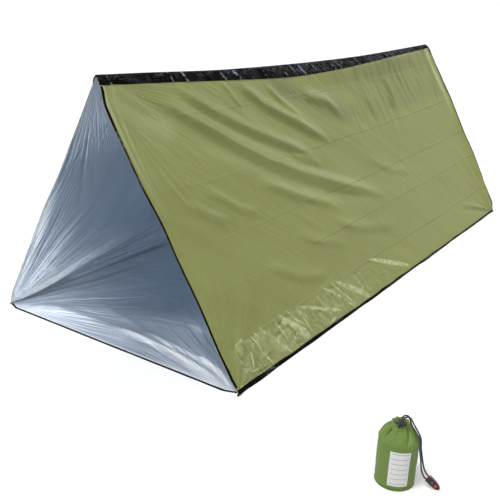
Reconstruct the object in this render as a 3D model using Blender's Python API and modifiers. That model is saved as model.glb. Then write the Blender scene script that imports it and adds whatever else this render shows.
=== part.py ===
"""Survival tent: a tube of metallised film pitched as a triangle, with its stuff sack beside it.

The tent is two roof slopes, a floor, a ridge strip, two eave tapes and a hem tape on each free edge.
The sack holds a packed bundle and closes with a drawcord, a sprung cord lock and a whistle.
Metres, +Z up. The origin is the middle of the floor's underside, and +Y runs along the ridge.
"""

import math

import bmesh
import bpy
from mathutils import Matrix, Vector

# Tent
TENT_LENGTH = 2.44
FLOOR_WIDTH = 1.014
RIDGE_HEIGHT = 0.853
RIDGE_OVERHANG = 0.025
RIDGE_SAG = 0.024
BACK_BOW = 0.014
FILM = 0.0012
TAPE = 0.0008
GAP = 0.0003
HEM_WIDTH = 0.008
EAVE_TAPE_HEIGHT = 0.018
EAVE_FLANGE = 0.006
STRIP_FRONT_WIDTH = 0.026
STRIP_FRONT_BULGE = 0.064
STRIP_WIDEST = 0.084
STRIP_BACK_BULGE = 0.050
STRIP_BACK_WIDTH = 0.014

# Sack
SACK_X = 1.028
SACK_Y = -1.305
SACK_TURN = math.radians(19.5)
CLOTH = 0.0008
SACK_RADIUS = 0.048
SACK_SIDES = 40
SHOULDER_Z = 0.118
NECK_RADIUS = 0.024
NECK_Z = 0.1515
SHOULDER_POWER = 1.15
BASE_THICKNESS = 0.0012
WELT_RADIUS = 0.0014
FOOT_TUCK = 0.0014
FOOT_ROUND_Z = 0.020
RUFFLE = 0.0014
COLLAR_TOP = 0.1612
COLLAR_SIDES = 54
RIPPLES = [(9, 0.7, 0.0), (14, 0.3, 1.0)]
CHANNEL_ROOM = 0.0010

# Drawcord
CORD_RADIUS = 0.0020
CORD_SPACING = 0.0045
DRAW_RADIUS = 0.0176
DRAW_Z = 0.1555
CORD_STEP = 0.0045
LOOP_TURN_IN = math.radians(26)
STRAND_FOOT = 0.0014

# Cord lock
LOCK_X = 0.0023
LOCK_Z = 0.1682
LOCK_TILT = math.radians(11)
LOCK_RADIUS = 0.0046
LOCK_FLANGE = 0.0003
LOCK_WALL = 0.0011
LOCK_END_WALL = 0.0012
LOCK_SHOULDER = 0.0029
HOLE_ROOM = 0.0004
BUTTON_TRAVEL = 0.0025
BUTTON_RADIUS = 0.0042
BUTTON_LENGTH = 0.0050
PLUNGER_END = 0.0014
SPRING_WIRE = 0.00025
SPRING_TURNS = 3.5
SPRING_SIDES = 14
SPRING_LENGTH = 0.0034
LOCK_SIDES = 28
LOCK_TRAVEL = 0.005

# Whistle
WHISTLE_X = 0.0770
WHISTLE_Y = -0.0095
WHISTLE_Z = 0.0276
WHISTLE_DIP = math.radians(41)
WHISTLE_LENGTH = 0.0375
WHISTLE_WIDTH = 0.0172
WHISTLE_END_WIDTH = 0.0160
WHISTLE_CORNER = 0.0019
WHISTLE_SIDES_LENGTH = 0.0112
TIP_POWER = 0.75
WHISTLE_PLATE = 0.0020
WHISTLE_CORE = 0.0026
TIP_RIM = 0.0008
WINDOW = 0.0058
WINDOW_X = 0.0262
WINDOW_PROUD = 0.0003
PIN_RADIUS = 0.0007
PIN_X = 0.0145
PIN_HEAD = 0.0004
PIN_HEAD_RADIUS = 0.0014
PIN_CROWN_RADIUS = 0.0010
SOCKET_DEPTH = 0.0040
SOCKET_SPREAD = 0.0050

SLOPE = math.hypot(FLOOR_WIDTH / 2, RIDGE_HEIGHT)
OUT_X = RIDGE_HEIGHT / SLOPE
OUT_Z = FLOOR_WIDTH / 2 / SLOPE
LEAN = FLOOR_WIDTH / 2 / RIDGE_HEIGHT
STRIP_LIFT = FILM / 2 + GAP + TAPE / 2

# Each strand's free run, between the cord lock and the whistle, in the sack's own frame
STRAND_RUNS = {
    "drawcord_strand_a": [
        (0.0086, -0.0192, 0.1846),
        (0.0122, -0.0198, 0.1871),
        (0.0166, -0.0199, 0.1875),
        (0.0206, -0.0196, 0.1856),
        (0.0235, -0.0190, 0.1822),
        (0.0305, -0.0172, 0.1690),
        (0.0383, -0.0148, 0.1555),
        (0.0453, -0.0120, 0.1420),
        (0.0495, -0.0095, 0.1310),
        (0.0514, -0.0078, 0.1200),
        (0.0524, -0.0066, 0.1080),
        (0.0545, -0.0058, 0.0950),
        (0.0575, -0.0055, 0.0820),
        (0.0602, -0.0057, 0.0690),
        (0.0632, -0.0066, 0.0570),
        (0.0675, -0.0080, 0.0460),
    ],
    "drawcord_strand_b": [
        (0.0042, -0.0164, 0.1855),
        (0.0078, -0.0153, 0.1880),
        (0.0122, -0.0150, 0.1884),
        (0.0161, -0.0152, 0.1865),
        (0.0187, -0.0156, 0.1830),
        (0.0213, -0.0162, 0.1760),
        (0.0250, -0.0168, 0.1670),
        (0.0305, -0.0168, 0.1575),
        (0.0375, -0.0163, 0.1475),
        (0.0445, -0.0156, 0.1370),
        (0.0491, -0.0148, 0.1250),
        (0.0500, -0.0139, 0.1120),
        (0.0508, -0.0128, 0.1000),
        (0.0533, -0.0116, 0.0860),
        (0.0562, -0.0108, 0.0700),
        (0.0582, -0.0104, 0.0560),
        (0.0612, -0.0100, 0.0430),
    ],
}

FILM_GREEN = (0.245, 0.265, 0.110)
FILM_SILVER = (0.30, 0.37, 0.44)
FILM_BLACK = (0.020, 0.020, 0.018)
SACK_GREEN = (0.200, 0.310, 0.095)
CORD_BLACK = (0.018, 0.018, 0.020)
PLASTIC_BLACK = (0.030, 0.030, 0.032)
BUTTON_GREY = (0.095, 0.095, 0.100)
WHISTLE_ORANGE = (0.900, 0.100, 0.020)
STEEL = (0.55, 0.55, 0.56)


def clear_scene():
    for obj in list(bpy.data.objects):
        bpy.data.objects.remove(obj)


def material(name, colour, roughness, metallic=0.0):
    """A plain surface of one colour, made once and then shared."""
    made = bpy.data.materials.get(name)
    if made is None:
        made = bpy.data.materials.new(name)
        made.use_nodes = True
        shader = made.node_tree.nodes["Principled BSDF"]
        shader.inputs["Base Color"].default_value = (*colour, 1)
        shader.inputs["Roughness"].default_value = roughness
        shader.inputs["Metallic"].default_value = metallic
    return made


def collection(name, hidden=False):
    made = bpy.data.collections.new(name)
    bpy.context.scene.collection.children.link(made)
    made.hide_render = hidden
    return made


def place(obj, name, group, surface=None, parent=None, location=(0, 0, 0), turn=(0, 0, 0)):
    """Names the object, puts it in its collection and sets it down under its parent."""
    obj.name = name
    obj.data.name = name
    for old in list(obj.users_collection):
        old.objects.unlink(obj)
    group.objects.link(obj)
    obj.parent = parent
    obj.location = location
    obj.rotation_euler = turn
    if surface is not None:
        obj.data.materials.append(surface)
    return obj


def frame_empty(name, group, location, turn, parent=None):
    """An empty that carries the pieces of one moving group."""
    empty = bpy.data.objects.new(name, None)
    group.objects.link(empty)
    empty.parent = parent
    empty.location = location
    empty.rotation_euler = turn
    return empty


def smooth(obj, angle=math.radians(40)):
    obj.data.shade_smooth()
    obj.data.set_sharp_from_angle(angle=angle)


def frozen(obj):
    """The object's evaluated shape as a plain mesh, in place of the object."""
    bpy.context.view_layer.update()
    graph = bpy.context.evaluated_depsgraph_get()
    mesh = bpy.data.meshes.new_from_object(obj.evaluated_get(graph))
    made = bpy.data.objects.new(obj.name + "_mesh", mesh)
    bpy.context.scene.collection.objects.link(made)
    bpy.data.objects.remove(obj)
    return made


def welded(mesh, distance=0.00001):
    work = bmesh.new()
    work.from_mesh(mesh)
    bmesh.ops.remove_doubles(work, verts=work.verts, dist=distance)
    bmesh.ops.recalc_face_normals(work, faces=work.faces)
    work.to_mesh(mesh)
    work.free()


def sheet(point, across, along):
    """A grid of cells bent by point(share across, share along)."""
    bpy.ops.mesh.primitive_grid_add(x_subdivisions=across, y_subdivisions=along, size=1)
    obj = bpy.context.active_object
    for vertex in obj.data.vertices:
        vertex.co = Vector(point(vertex.co.x + 0.5, vertex.co.y + 0.5))
    return obj


def thicken(obj, thickness):
    wall = obj.modifiers.new("wall", "SOLIDIFY")
    wall.thickness = thickness
    wall.offset = 0
    wall.use_even_offset = True


def turned(profile, steps, closed):
    """The profile, as (radius, height) points, turned once round Z."""
    mesh = bpy.data.meshes.new("profile")
    count = len(profile)
    edges = [(i, (i + 1) % count) for i in range(count if closed else count - 1)]
    mesh.from_pydata([(radius, 0, height) for radius, height in profile], edges, [])
    obj = bpy.data.objects.new("profile", mesh)
    bpy.context.scene.collection.objects.link(obj)
    screw = obj.modifiers.new("turn", "SCREW")
    screw.steps = steps
    screw.render_steps = steps
    screw.use_merge_vertices = True
    screw.merge_threshold = 0.00001
    return obj


def smooth_run(points, step):
    """Points about a step apart, on a Catmull-Rom curve through the given ones."""
    known = [Vector(p) for p in points]
    known = [2 * known[0] - known[1], *known, 2 * known[-1] - known[-2]]
    run = []
    for a, b, c, d in zip(known, known[1:], known[2:], known[3:]):
        parts = max(1, round((c - b).length / step))
        for i in range(parts):
            t = i / parts
            run.append(
                0.5 * (2 * b + (c - a) * t + (2 * a - 5 * b + 4 * c - d) * t**2)
                + 0.5 * (3 * b - a - 3 * c + d) * t**3
            )
    run.append(known[-2])
    return run


def tube(points, radius, sides=2, ring=False):
    """A round cord or wire along the points."""
    curve = bpy.data.curves.new("tube", "CURVE")
    curve.dimensions = "3D"
    curve.bevel_depth = radius
    curve.bevel_resolution = sides
    curve.use_fill_caps = not ring
    spline = curve.splines.new("POLY")
    spline.points.add(len(points) - 1)
    for knot, point in zip(spline.points, points):
        knot.co = (*point, 1)
    spline.use_cyclic_u = ring
    obj = bpy.data.objects.new("tube", curve)
    bpy.context.scene.collection.objects.link(obj)
    return obj


def plate(outline, thickness):
    """A flat outline in X and Z, thickened along Y about its middle."""
    curve = bpy.data.curves.new("plate", "CURVE")
    curve.dimensions = "2D"
    curve.fill_mode = "BOTH"
    curve.extrude = thickness / 2
    spline = curve.splines.new("POLY")
    spline.points.add(len(outline) - 1)
    for knot, (x, z) in zip(spline.points, outline):
        knot.co = (x, z, 0, 1)
    spline.use_cyclic_u = True
    obj = bpy.data.objects.new("plate", curve)
    bpy.context.scene.collection.objects.link(obj)
    obj = frozen(obj)
    for vertex in obj.data.vertices:
        vertex.co = Vector((vertex.co.x, vertex.co.z, vertex.co.y))
    welded(obj.data)
    return obj


def cut(obj, cutter, name, group, parent=None, location=(0, 0, 0), turn=(0, 0, 0)):
    """Takes the cutter's shape out of the object."""
    place(cutter, name, group, None, parent, location, turn)
    cutter.hide_render = True
    cutter.display_type = "WIRE"
    hole = obj.modifiers.new(name, "BOOLEAN")
    hole.operation = "DIFFERENCE"
    hole.solver = "EXACT"
    hole.object = cutter


def cylinder(radius, depth, segments=24):
    bpy.ops.mesh.primitive_cylinder_add(vertices=segments, radius=radius, depth=depth)
    return bpy.context.active_object


def block(low, high):
    """A box between two corners."""
    bpy.ops.mesh.primitive_cube_add(size=1)
    obj = bpy.context.active_object
    for vertex in obj.data.vertices:
        vertex.co = Vector(
            low[i] + (high[i] - low[i]) * (vertex.co[i] + 0.5) for i in range(3)
        )
    return obj


def roof_point(side, up, along, lift=0.0):
    """A point of a roof slope: up from eave to ridge, along from front to back, lift outwards."""
    height = RIDGE_HEIGHT - RIDGE_SAG * 4 * along * (1 - along)
    x = FLOOR_WIDTH / 2 * (1 - up) + OUT_X * lift
    y = (along - 0.5) * (TENT_LENGTH + 2 * RIDGE_OVERHANG * up)
    y += BACK_BOW * math.sin(math.pi * min(max(up, 0), 1)) * along**2
    return (side * x, y, height * up + OUT_Z * lift)


def floor_half(top):
    """Half the width between the slopes' inner faces, up to this height, with the gap taken off."""
    return FLOOR_WIDTH / 2 - FILM / 2 / OUT_X - top * LEAN - GAP


def strip_width(along):
    """How far the ridge strip reaches down each slope, through five stations."""
    stations = [
        (0.0, STRIP_FRONT_WIDTH),
        (0.28, STRIP_FRONT_BULGE),
        (0.57, STRIP_WIDEST),
        (0.80, STRIP_BACK_BULGE),
        (1.0, STRIP_BACK_WIDTH),
    ]
    for (start, low), (end, high) in zip(stations, stations[1:]):
        if along <= end:
            return low + (high - low) * (along - start) / (end - start)
    return STRIP_BACK_WIDTH


def roof_panel(side, group):
    foot = FILM / 2 * OUT_Z / RIDGE_HEIGHT + GAP / SLOPE
    crown = 1 - (FILM / 2 * OUT_X + GAP / 2) / OUT_Z / SLOPE
    panel = sheet(lambda a, b: roof_point(side, foot + (crown - foot) * a, b), across=10, along=24)
    thicken(panel, FILM)
    name = "roof_panel_right" if side > 0 else "roof_panel_left"
    place(panel, name, group, material("olive_film", FILM_GREEN, 0.4, 0.1))
    smooth(panel)


def floor_panel(group):
    half = floor_half(FILM)

    def point(a, b):
        return ((2 * a - 1) * half, (b - 0.5) * TENT_LENGTH, FILM / 2)

    panel = sheet(point, across=4, along=8)
    thicken(panel, FILM)
    place(panel, "floor_panel", group, material("silver_film", FILM_SILVER, 0.3, 0.6))


def ridge_strip(group):
    """The strip folded over the ridge. Its own origin is on the ridge line, where it slides."""
    peak = STRIP_LIFT * OUT_X / OUT_Z

    def point(a, b):
        down = abs(2 * a - 1) * (strip_width(b) + peak)
        side = 1 if a >= 0.5 else -1
        x, y, z = roof_point(side, 1 + (peak - down) / SLOPE, b, STRIP_LIFT)
        return (x, y, z - RIDGE_HEIGHT)

    strip = sheet(point, across=6, along=40)
    thicken(strip, TAPE)
    place(
        strip,
        "ridge_strip",
        group,
        material("black_film", FILM_BLACK, 0.3),
        location=(0, 0, RIDGE_HEIGHT),
    )


def eave_tape(side, group):
    """The tape along the bottom of a slope, turned out on the ground as a narrow flange.

    Two of its three cells lie on the slope, and the third is the flange.
    """
    corner = (TAPE / 2 - OUT_Z * STRIP_LIFT) / RIDGE_HEIGHT
    top = EAVE_TAPE_HEIGHT / SLOPE
    bend = 2 / 3

    def point(a, b):
        if a <= bend:
            return roof_point(side, top + (corner - top) * a / bend, b, STRIP_LIFT)
        x, y, z = roof_point(side, corner, b, STRIP_LIFT)
        return (x + side * EAVE_FLANGE * (a - bend) / (1 - bend), y, TAPE / 2)

    tape = sheet(point, across=3, along=24)
    thicken(tape, TAPE)
    name = "eave_tape_right" if side > 0 else "eave_tape_left"
    place(tape, name, group, material("black_film", FILM_BLACK, 0.3))


def slope_hem(side, back, group):
    """The tape on a slope's free edge, from the eave tape up to the ridge strip."""
    low = (EAVE_TAPE_HEIGHT + 2 * GAP) / SLOPE
    inner_edge = HEM_WIDTH / TENT_LENGTH
    high = 1 - (strip_width(1 - inner_edge if back else inner_edge) + 2 * GAP) / SLOPE

    def point(a, b):
        inset = inner_edge * a
        along = 1 - inset if back else inset
        return roof_point(side, low + (high - low) * b, along, STRIP_LIFT)

    hem = sheet(point, across=1, along=16)
    thicken(hem, TAPE)
    end = "back" if back else "front"
    name = f"{end}_hem_right" if side > 0 else f"{end}_hem_left"
    place(hem, name, group, material("black_film", FILM_BLACK, 0.3))


def floor_hem(back, group):
    """The tape on the floor's free edge, on its upper face."""
    half = floor_half(FILM + GAP + TAPE)
    edge = TENT_LENGTH / 2 * (1 if back else -1)
    inward = -1 if back else 1

    def point(a, b):
        return ((2 * a - 1) * half, edge + inward * HEM_WIDTH * b, FILM + GAP + TAPE / 2)

    hem = sheet(point, across=4, along=1)
    thicken(hem, TAPE)
    name = "back_hem_floor" if back else "front_hem_floor"
    place(hem, name, group, material("black_film", FILM_BLACK, 0.3))


def tent(group):
    floor_panel(group)
    ridge_strip(group)
    for side in (1, -1):
        roof_panel(side, group)
        eave_tape(side, group)
        for back in (False, True):
            slope_hem(side, back, group)
    for back in (False, True):
        floor_hem(back, group)


def shoulder(inset, steps=8):
    """The curve from the sack's wall in to its neck, held inside the cloth by the inset."""
    wall = SACK_RADIUS - inset
    neck = NECK_RADIUS - inset
    rise = NECK_Z - inset - SHOULDER_Z
    curve = []
    for i in range(steps + 1):
        turn = math.pi / 2 * i / steps
        reach = max(math.cos(turn), 0) ** SHOULDER_POWER
        curve.append((neck + (wall - neck) * reach, SHOULDER_Z + rise * math.sin(turn)))
    return curve


def sack_cloth(group, frame):
    """The sack's wall, its base disc and the welt that joins them."""
    cloth = material("sack_cloth", SACK_GREEN, 0.8)
    foot = 2 * WELT_RADIUS + GAP + CLOTH / 2
    wall = [
        (SACK_RADIUS - FOOT_TUCK, foot),
        (SACK_RADIUS - FOOT_TUCK / 4, (foot + FOOT_ROUND_Z) / 2),
        (SACK_RADIUS, FOOT_ROUND_Z),
        *shoulder(0),
    ]
    body = turned(wall[::-1], SACK_SIDES, False)
    thicken(body, CLOTH)
    place(body, "sack_body", group, cloth, frame)
    smooth(body)

    welt_line = SACK_RADIUS - FOOT_TUCK
    ring = [
        (welt_line * math.cos(turn), welt_line * math.sin(turn), WELT_RADIUS)
        for turn in (2 * math.pi * i / SACK_SIDES for i in range(SACK_SIDES))
    ]
    welt = tube(ring, WELT_RADIUS, 2, ring=True)
    place(welt, "base_welt", group, cloth, frame)

    disc = cylinder(welt_line - WELT_RADIUS - GAP, BASE_THICKNESS, SACK_SIDES)
    place(disc, "sack_base", group, cloth, frame, (0, 0, BASE_THICKNESS / 2))


def sack_bundle(group, frame):
    """The packed film that fills the sack, just inside its cloth."""
    inset = CLOTH / 2 + GAP
    bottom = BASE_THICKNESS + GAP
    foot = 2 * WELT_RADIUS + GAP
    crown = shoulder(inset)
    outline = [
        (0, crown[-1][1]),
        *crown[::-1],
        (SACK_RADIUS - inset, FOOT_ROUND_Z),
        (SACK_RADIUS - inset - FOOT_TUCK, foot + inset),
        (SACK_RADIUS - FOOT_TUCK - WELT_RADIUS - GAP, bottom),
        (0, bottom),
    ]
    bundle = turned(outline, SACK_SIDES, False)
    place(bundle, "packed_bundle", group, material("packed_film", FILM_GREEN, 0.5), frame)


def sack_collar(group, cutters, frame):
    """The gathered mouth: a folded hem with the drawcord in it, ruffled above and notched in front."""
    outer = DRAW_RADIUS + CORD_RADIUS + CHANNEL_ROOM
    inner = DRAW_RADIUS - CORD_RADIUS - CHANNEL_ROOM
    fold = (outer - inner) / 4
    section = [
        (NECK_RADIUS, NECK_Z + CLOTH + GAP),
        (outer + CHANNEL_ROOM, DRAW_Z - CORD_RADIUS / 2),
        (outer, DRAW_Z + CORD_RADIUS),
        (outer + CHANNEL_ROOM / 2, COLLAR_TOP - fold),
        (outer - fold, COLLAR_TOP - CLOTH / 2),
        (inner + fold, COLLAR_TOP - fold),
        (inner, DRAW_Z + CORD_RADIUS),
        (inner, DRAW_Z - CORD_RADIUS),
        (inner + fold, DRAW_Z - CORD_RADIUS - CHANNEL_ROOM),
    ]
    collar = frozen(turned(section, COLLAR_SIDES, False))
    for vertex in collar.data.vertices:
        height = max(0, vertex.co.z - DRAW_Z) / (COLLAR_TOP - DRAW_Z)
        turn = math.atan2(vertex.co.y, vertex.co.x)
        wave = sum(share * math.cos(count * turn + start) for count, share, start in RIPPLES)
        swell = 1 + RUFFLE * height * wave / math.hypot(vertex.co.x, vertex.co.y)
        vertex.co.x *= swell
        vertex.co.y *= swell
    thicken(collar, CLOTH)
    place(collar, "sack_collar", group, material("sack_cloth", SACK_GREEN, 0.8), frame)
    smooth(collar)
    middle = LOCK_X - (LOCK_Z - (DRAW_Z + COLLAR_TOP) / 2) * math.tan(LOCK_TILT)
    reach = CORD_SPACING / 2 + CORD_RADIUS + CHANNEL_ROOM
    notch = block(
        (middle - reach, -2 * NECK_RADIUS, DRAW_Z - CORD_RADIUS - HOLE_ROOM),
        (middle + reach, -inner - CLOTH / 2 - GAP, COLLAR_TOP + NECK_RADIUS),
    )
    cut(collar, notch, "collar_notch", cutters, frame)


def lock_line(away, side):
    """A point of a strand's straight run through the cord lock, in the sack's frame."""
    rise = Vector((math.sin(LOCK_TILT), 0, math.cos(LOCK_TILT)))
    across = Vector((math.cos(LOCK_TILT), 0, -math.sin(LOCK_TILT)))
    middle = Vector((LOCK_X, -DRAW_RADIUS, LOCK_Z))
    return middle + rise * away + across * (side * CORD_SPACING / 2)


def whistle_line(ahead, side):
    """A point on the line of one of the whistle's two cord sockets, in the sack's frame."""
    forward = Vector((math.cos(WHISTLE_DIP), 0, -math.sin(WHISTLE_DIP)))
    across = Vector((math.sin(WHISTLE_DIP), 0, math.cos(WHISTLE_DIP)))
    end = Vector((WHISTLE_X, WHISTLE_Y, WHISTLE_Z))
    return end + forward * ahead + across * (side * SOCKET_SPREAD)


def drawcord(group, frame):
    """The cord round the mouth, and its two strands through the lock to the whistle."""
    cord = material("braided_cord", CORD_BLACK, 0.8)
    start = LOCK_Z - 2 * LOCK_RADIUS - DRAW_Z
    steps = 30
    ring = []
    for i in range(steps + 1):
        turn = LOOP_TURN_IN + 2 * (math.pi - LOOP_TURN_IN) * i / steps
        ring.append((DRAW_RADIUS * math.sin(turn), -DRAW_RADIUS * math.cos(turn), DRAW_Z))
    foot = -LOCK_RADIUS - STRAND_FOOT
    ends = []
    for side in (1, -1):
        knee = lock_line(foot - start / 2, side)
        knee.z = DRAW_Z + start / 5
        ends.append([lock_line(foot - GAP, side), lock_line(foot - CORD_RADIUS, side), knee])
    path = [*ends[0], *ring, *reversed(ends[1])]
    loop = tube(smooth_run(path, CORD_STEP), CORD_RADIUS)
    place(loop, "drawcord_loop", group, cord, frame)

    clear = LOCK_RADIUS + LOCK_TRAVEL
    for name, side in (("drawcord_strand_a", 1), ("drawcord_strand_b", -1)):
        straight = [lock_line(d, side) for d in (foot, 0, clear / 2, clear, clear + CORD_RADIUS)]
        last = [whistle_line(d, side) for d in (-4 * CORD_RADIUS, SOCKET_DEPTH - GAP)]
        run = smooth_run([*straight, *STRAND_RUNS[name], *last], CORD_STEP)
        place(tube(run, CORD_RADIUS), name, group, cord, frame)


def oblong(half_length, radius, depth, segments=24):
    """An upright cutter with straight sides along X and round ends."""
    shape = bmesh.new()
    bmesh.ops.create_cone(
        shape, cap_ends=True, segments=segments, radius1=radius, radius2=radius, depth=depth
    )
    half_step = Matrix.Rotation(math.pi / segments, 3, "Z")
    bmesh.ops.rotate(shape, verts=shape.verts, cent=(0, 0, 0), matrix=half_step)
    for vertex in shape.verts:
        vertex.co.x += math.copysign(half_length, vertex.co.x)
    mesh = bpy.data.meshes.new("oblong")
    shape.to_mesh(mesh)
    shape.free()
    obj = bpy.data.objects.new("oblong", mesh)
    bpy.context.scene.collection.objects.link(obj)
    return obj


def cord_lock(group, cutters, frame):
    """Barrel, plunger and spring on one axis, which lies along X in the lock's own frame."""
    lock = frame_empty(
        "cord_lock_frame", group, (LOCK_X, -DRAW_RADIUS, LOCK_Z), (0, LOCK_TILT, 0), frame
    )
    along_x = (0, math.pi / 2, 0)
    black = material("lock_plastic", PLASTIC_BLACK, 0.45)
    cords = CORD_SPACING / 2 + CORD_RADIUS
    bore = LOCK_RADIUS - LOCK_WALL
    left = -(cords + HOLE_ROOM + LOCK_SHOULDER)
    slot_high = cords + GAP
    slot_low = -slot_high - BUTTON_TRAVEL
    plunger_tip = slot_high + PLUNGER_END
    bore_end = plunger_tip + SPRING_LENGTH + 2 * GAP
    right = bore_end + LOCK_END_WALL
    rim = LOCK_RADIUS + LOCK_FLANGE
    edge = LOCK_FLANGE

    barrel = turned(
        [
            (bore / 3, right),
            (rim - edge, right),
            (rim, right - edge),
            (rim, right - 5 * edge),
            (LOCK_RADIUS, right - 6 * edge),
            (LOCK_RADIUS, left + edge),
            (LOCK_RADIUS - edge, left),
            (bore, left),
            (bore, bore_end),
            (bore / 3, bore_end),
        ],
        LOCK_SIDES,
        True,
    )
    place(barrel, "cord_lock_barrel", group, black, lock, turn=along_x)
    smooth(barrel)
    hole = oblong(CORD_SPACING / 2, CORD_RADIUS + HOLE_ROOM, 4 * LOCK_RADIUS)
    cut(barrel, hole, "barrel_cord_hole", cutters, lock)

    shaft = bore - GAP
    neck = left - BUTTON_TRAVEL - GAP
    dome = BUTTON_LENGTH / 2
    head = []
    for i in range(6, -1, -1):
        turn = math.pi / 2 * i / 6
        head.append((BUTTON_RADIUS * math.sin(turn), neck - dome - dome * math.cos(turn)))
    plunger = turned(
        [
            (0, plunger_tip),
            (shaft, plunger_tip),
            (shaft, neck),
            (BUTTON_RADIUS - edge, neck),
            (BUTTON_RADIUS, neck - edge),
            *head,
        ],
        LOCK_SIDES,
        False,
    )
    grey = material("lock_button", BUTTON_GREY, 0.4)
    place(plunger, "cord_lock_button", group, grey, lock, turn=along_x)
    smooth(plunger)
    middle = (slot_low + slot_high) / 2
    slot = block(
        (slot_low - middle, -CORD_RADIUS - HOLE_ROOM, -2 * LOCK_RADIUS),
        (slot_high - middle, CORD_RADIUS + HOLE_ROOM, 2 * LOCK_RADIUS),
    )
    cut(plunger, slot, "plunger_cord_slot", cutters, lock, (middle, 0, 0))

    coil = shaft - 3 * SPRING_WIRE
    count = round(SPRING_TURNS * SPRING_SIDES)
    rise = SPRING_LENGTH - 2 * SPRING_WIRE
    turns = []
    for i in range(count + 1):
        turn = 2 * math.pi * i / SPRING_SIDES
        ahead = plunger_tip + GAP + SPRING_WIRE + rise * i / count
        turns.append((ahead, coil * math.cos(turn), coil * math.sin(turn)))
    spring = tube(turns, SPRING_WIRE, sides=1)
    place(spring, "cord_lock_spring", group, material("spring_steel", STEEL, 0.3, 1.0), lock)


def whistle_outline(rim):
    """The whistle from its square end to its round tip, grown at the tip by the rim."""
    half = WHISTLE_WIDTH / 2
    tip_length = WHISTLE_LENGTH - WHISTLE_SIDES_LENGTH
    upper = [(0, WHISTLE_END_WIDTH / 2), (WHISTLE_CORNER, half)]
    steps = 12
    for i in range(steps):
        turn = math.pi / 2 * i / steps
        grow = rim * math.sin(turn)
        x = WHISTLE_SIDES_LENGTH + tip_length * math.sin(turn) + grow
        upper.append((x, (half + grow) * math.cos(turn) ** TIP_POWER))
    lower = [(x, -z) for x, z in reversed(upper)]
    return [*upper, (WHISTLE_LENGTH + rim, 0), *lower]


def whistle(group, cutters, frame):
    """Two black plates on an orange core, held by a pin, with the cord in its square end."""
    place_at = frame_empty(
        "whistle_frame",
        group,
        (WHISTLE_X, WHISTLE_Y, WHISTLE_Z),
        (0, WHISTLE_DIP, 0),
        frame,
    )
    black = material("whistle_plastic", PLASTIC_BLACK, 0.4)
    orange = material("whistle_core", WHISTLE_ORANGE, 0.35)
    offset = WHISTLE_CORE / 2 + GAP + WHISTLE_PLATE / 2
    front = plate(whistle_outline(0), WHISTLE_PLATE)
    back = plate(whistle_outline(0), WHISTLE_PLATE)
    core = plate(whistle_outline(TIP_RIM), WHISTLE_CORE)
    place(front, "whistle_front_plate", group, black, place_at, (0, -offset, 0))
    place(back, "whistle_back_plate", group, black, place_at, (0, offset, 0))
    place(core, "whistle_core", group, orange, place_at)

    face = offset + WHISTLE_PLATE / 2
    pad = block(
        (WINDOW_X - WINDOW / 2, -face - WINDOW_PROUD, -WINDOW / 2),
        (WINDOW_X + WINDOW / 2, 0, WINDOW / 2),
    )
    place(pad, "core_window_pad", cutters, None, place_at)
    pad.hide_render = True
    pad.display_type = "WIRE"
    join = core.modifiers.new("window_pad", "BOOLEAN")
    join.operation = "UNION"
    join.solver = "EXACT"
    join.object = pad
    opening = WINDOW / 2 + GAP
    window = block((WINDOW_X - opening, -2 * face, -opening), (WINDOW_X + opening, 0, opening))
    cut(front, window, "window_cutter", cutters, place_at)

    across_plates = (math.pi / 2, 0, 0)
    for piece, label in ((front, "front"), (core, "core"), (back, "back")):
        bore = cylinder(PIN_RADIUS + GAP, 4 * face, 16)
        cut(piece, bore, f"pin_hole_{label}", cutters, place_at, (PIN_X, 0, 0), across_plates)
        for side in (1, -1):
            socket = cylinder(CORD_RADIUS + HOLE_ROOM, 2 * SOCKET_DEPTH, 20)
            cut(
                piece,
                socket,
                f"cord_socket_{label}_{side}",
                cutters,
                place_at,
                (0, 0, side * SOCKET_SPREAD),
                (0, math.pi / 2, 0),
            )

    reach = face + GAP
    pin = turned(
        [
            (0, reach + PIN_HEAD),
            (PIN_CROWN_RADIUS, reach + PIN_HEAD),
            (PIN_HEAD_RADIUS, reach),
            (PIN_RADIUS, reach),
            (PIN_RADIUS, -reach),
            (PIN_HEAD_RADIUS, -reach),
            (PIN_CROWN_RADIUS, -reach - PIN_HEAD),
            (0, -reach - PIN_HEAD),
        ],
        20,
        False,
    )
    steel = material("pin_steel", STEEL, 0.3, 1.0)
    place(pin, "whistle_pin", group, steel, place_at, (PIN_X, 0, 0), across_plates)


def main():
    clear_scene()
    group = collection("survival_tent")
    cutters = collection("cutters", hidden=True)
    tent(group)
    frame = frame_empty("sack_frame", group, (SACK_X, SACK_Y, 0), (0, 0, SACK_TURN))
    sack_cloth(group, frame)
    sack_bundle(group, frame)
    sack_collar(group, cutters, frame)
    drawcord(group, frame)
    cord_lock(group, cutters, frame)
    whistle(group, cutters, frame)


main()
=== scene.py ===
"""Survival tent: a tube of metallised film pitched as a triangle, with its stuff sack beside it.

Each operator makes one piece or one group of like pieces round the packed solids.
Metres, +Z up. The origin is the middle of the floor's underside, and +Y runs along the ridge.
"""

import functools
import math

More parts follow.
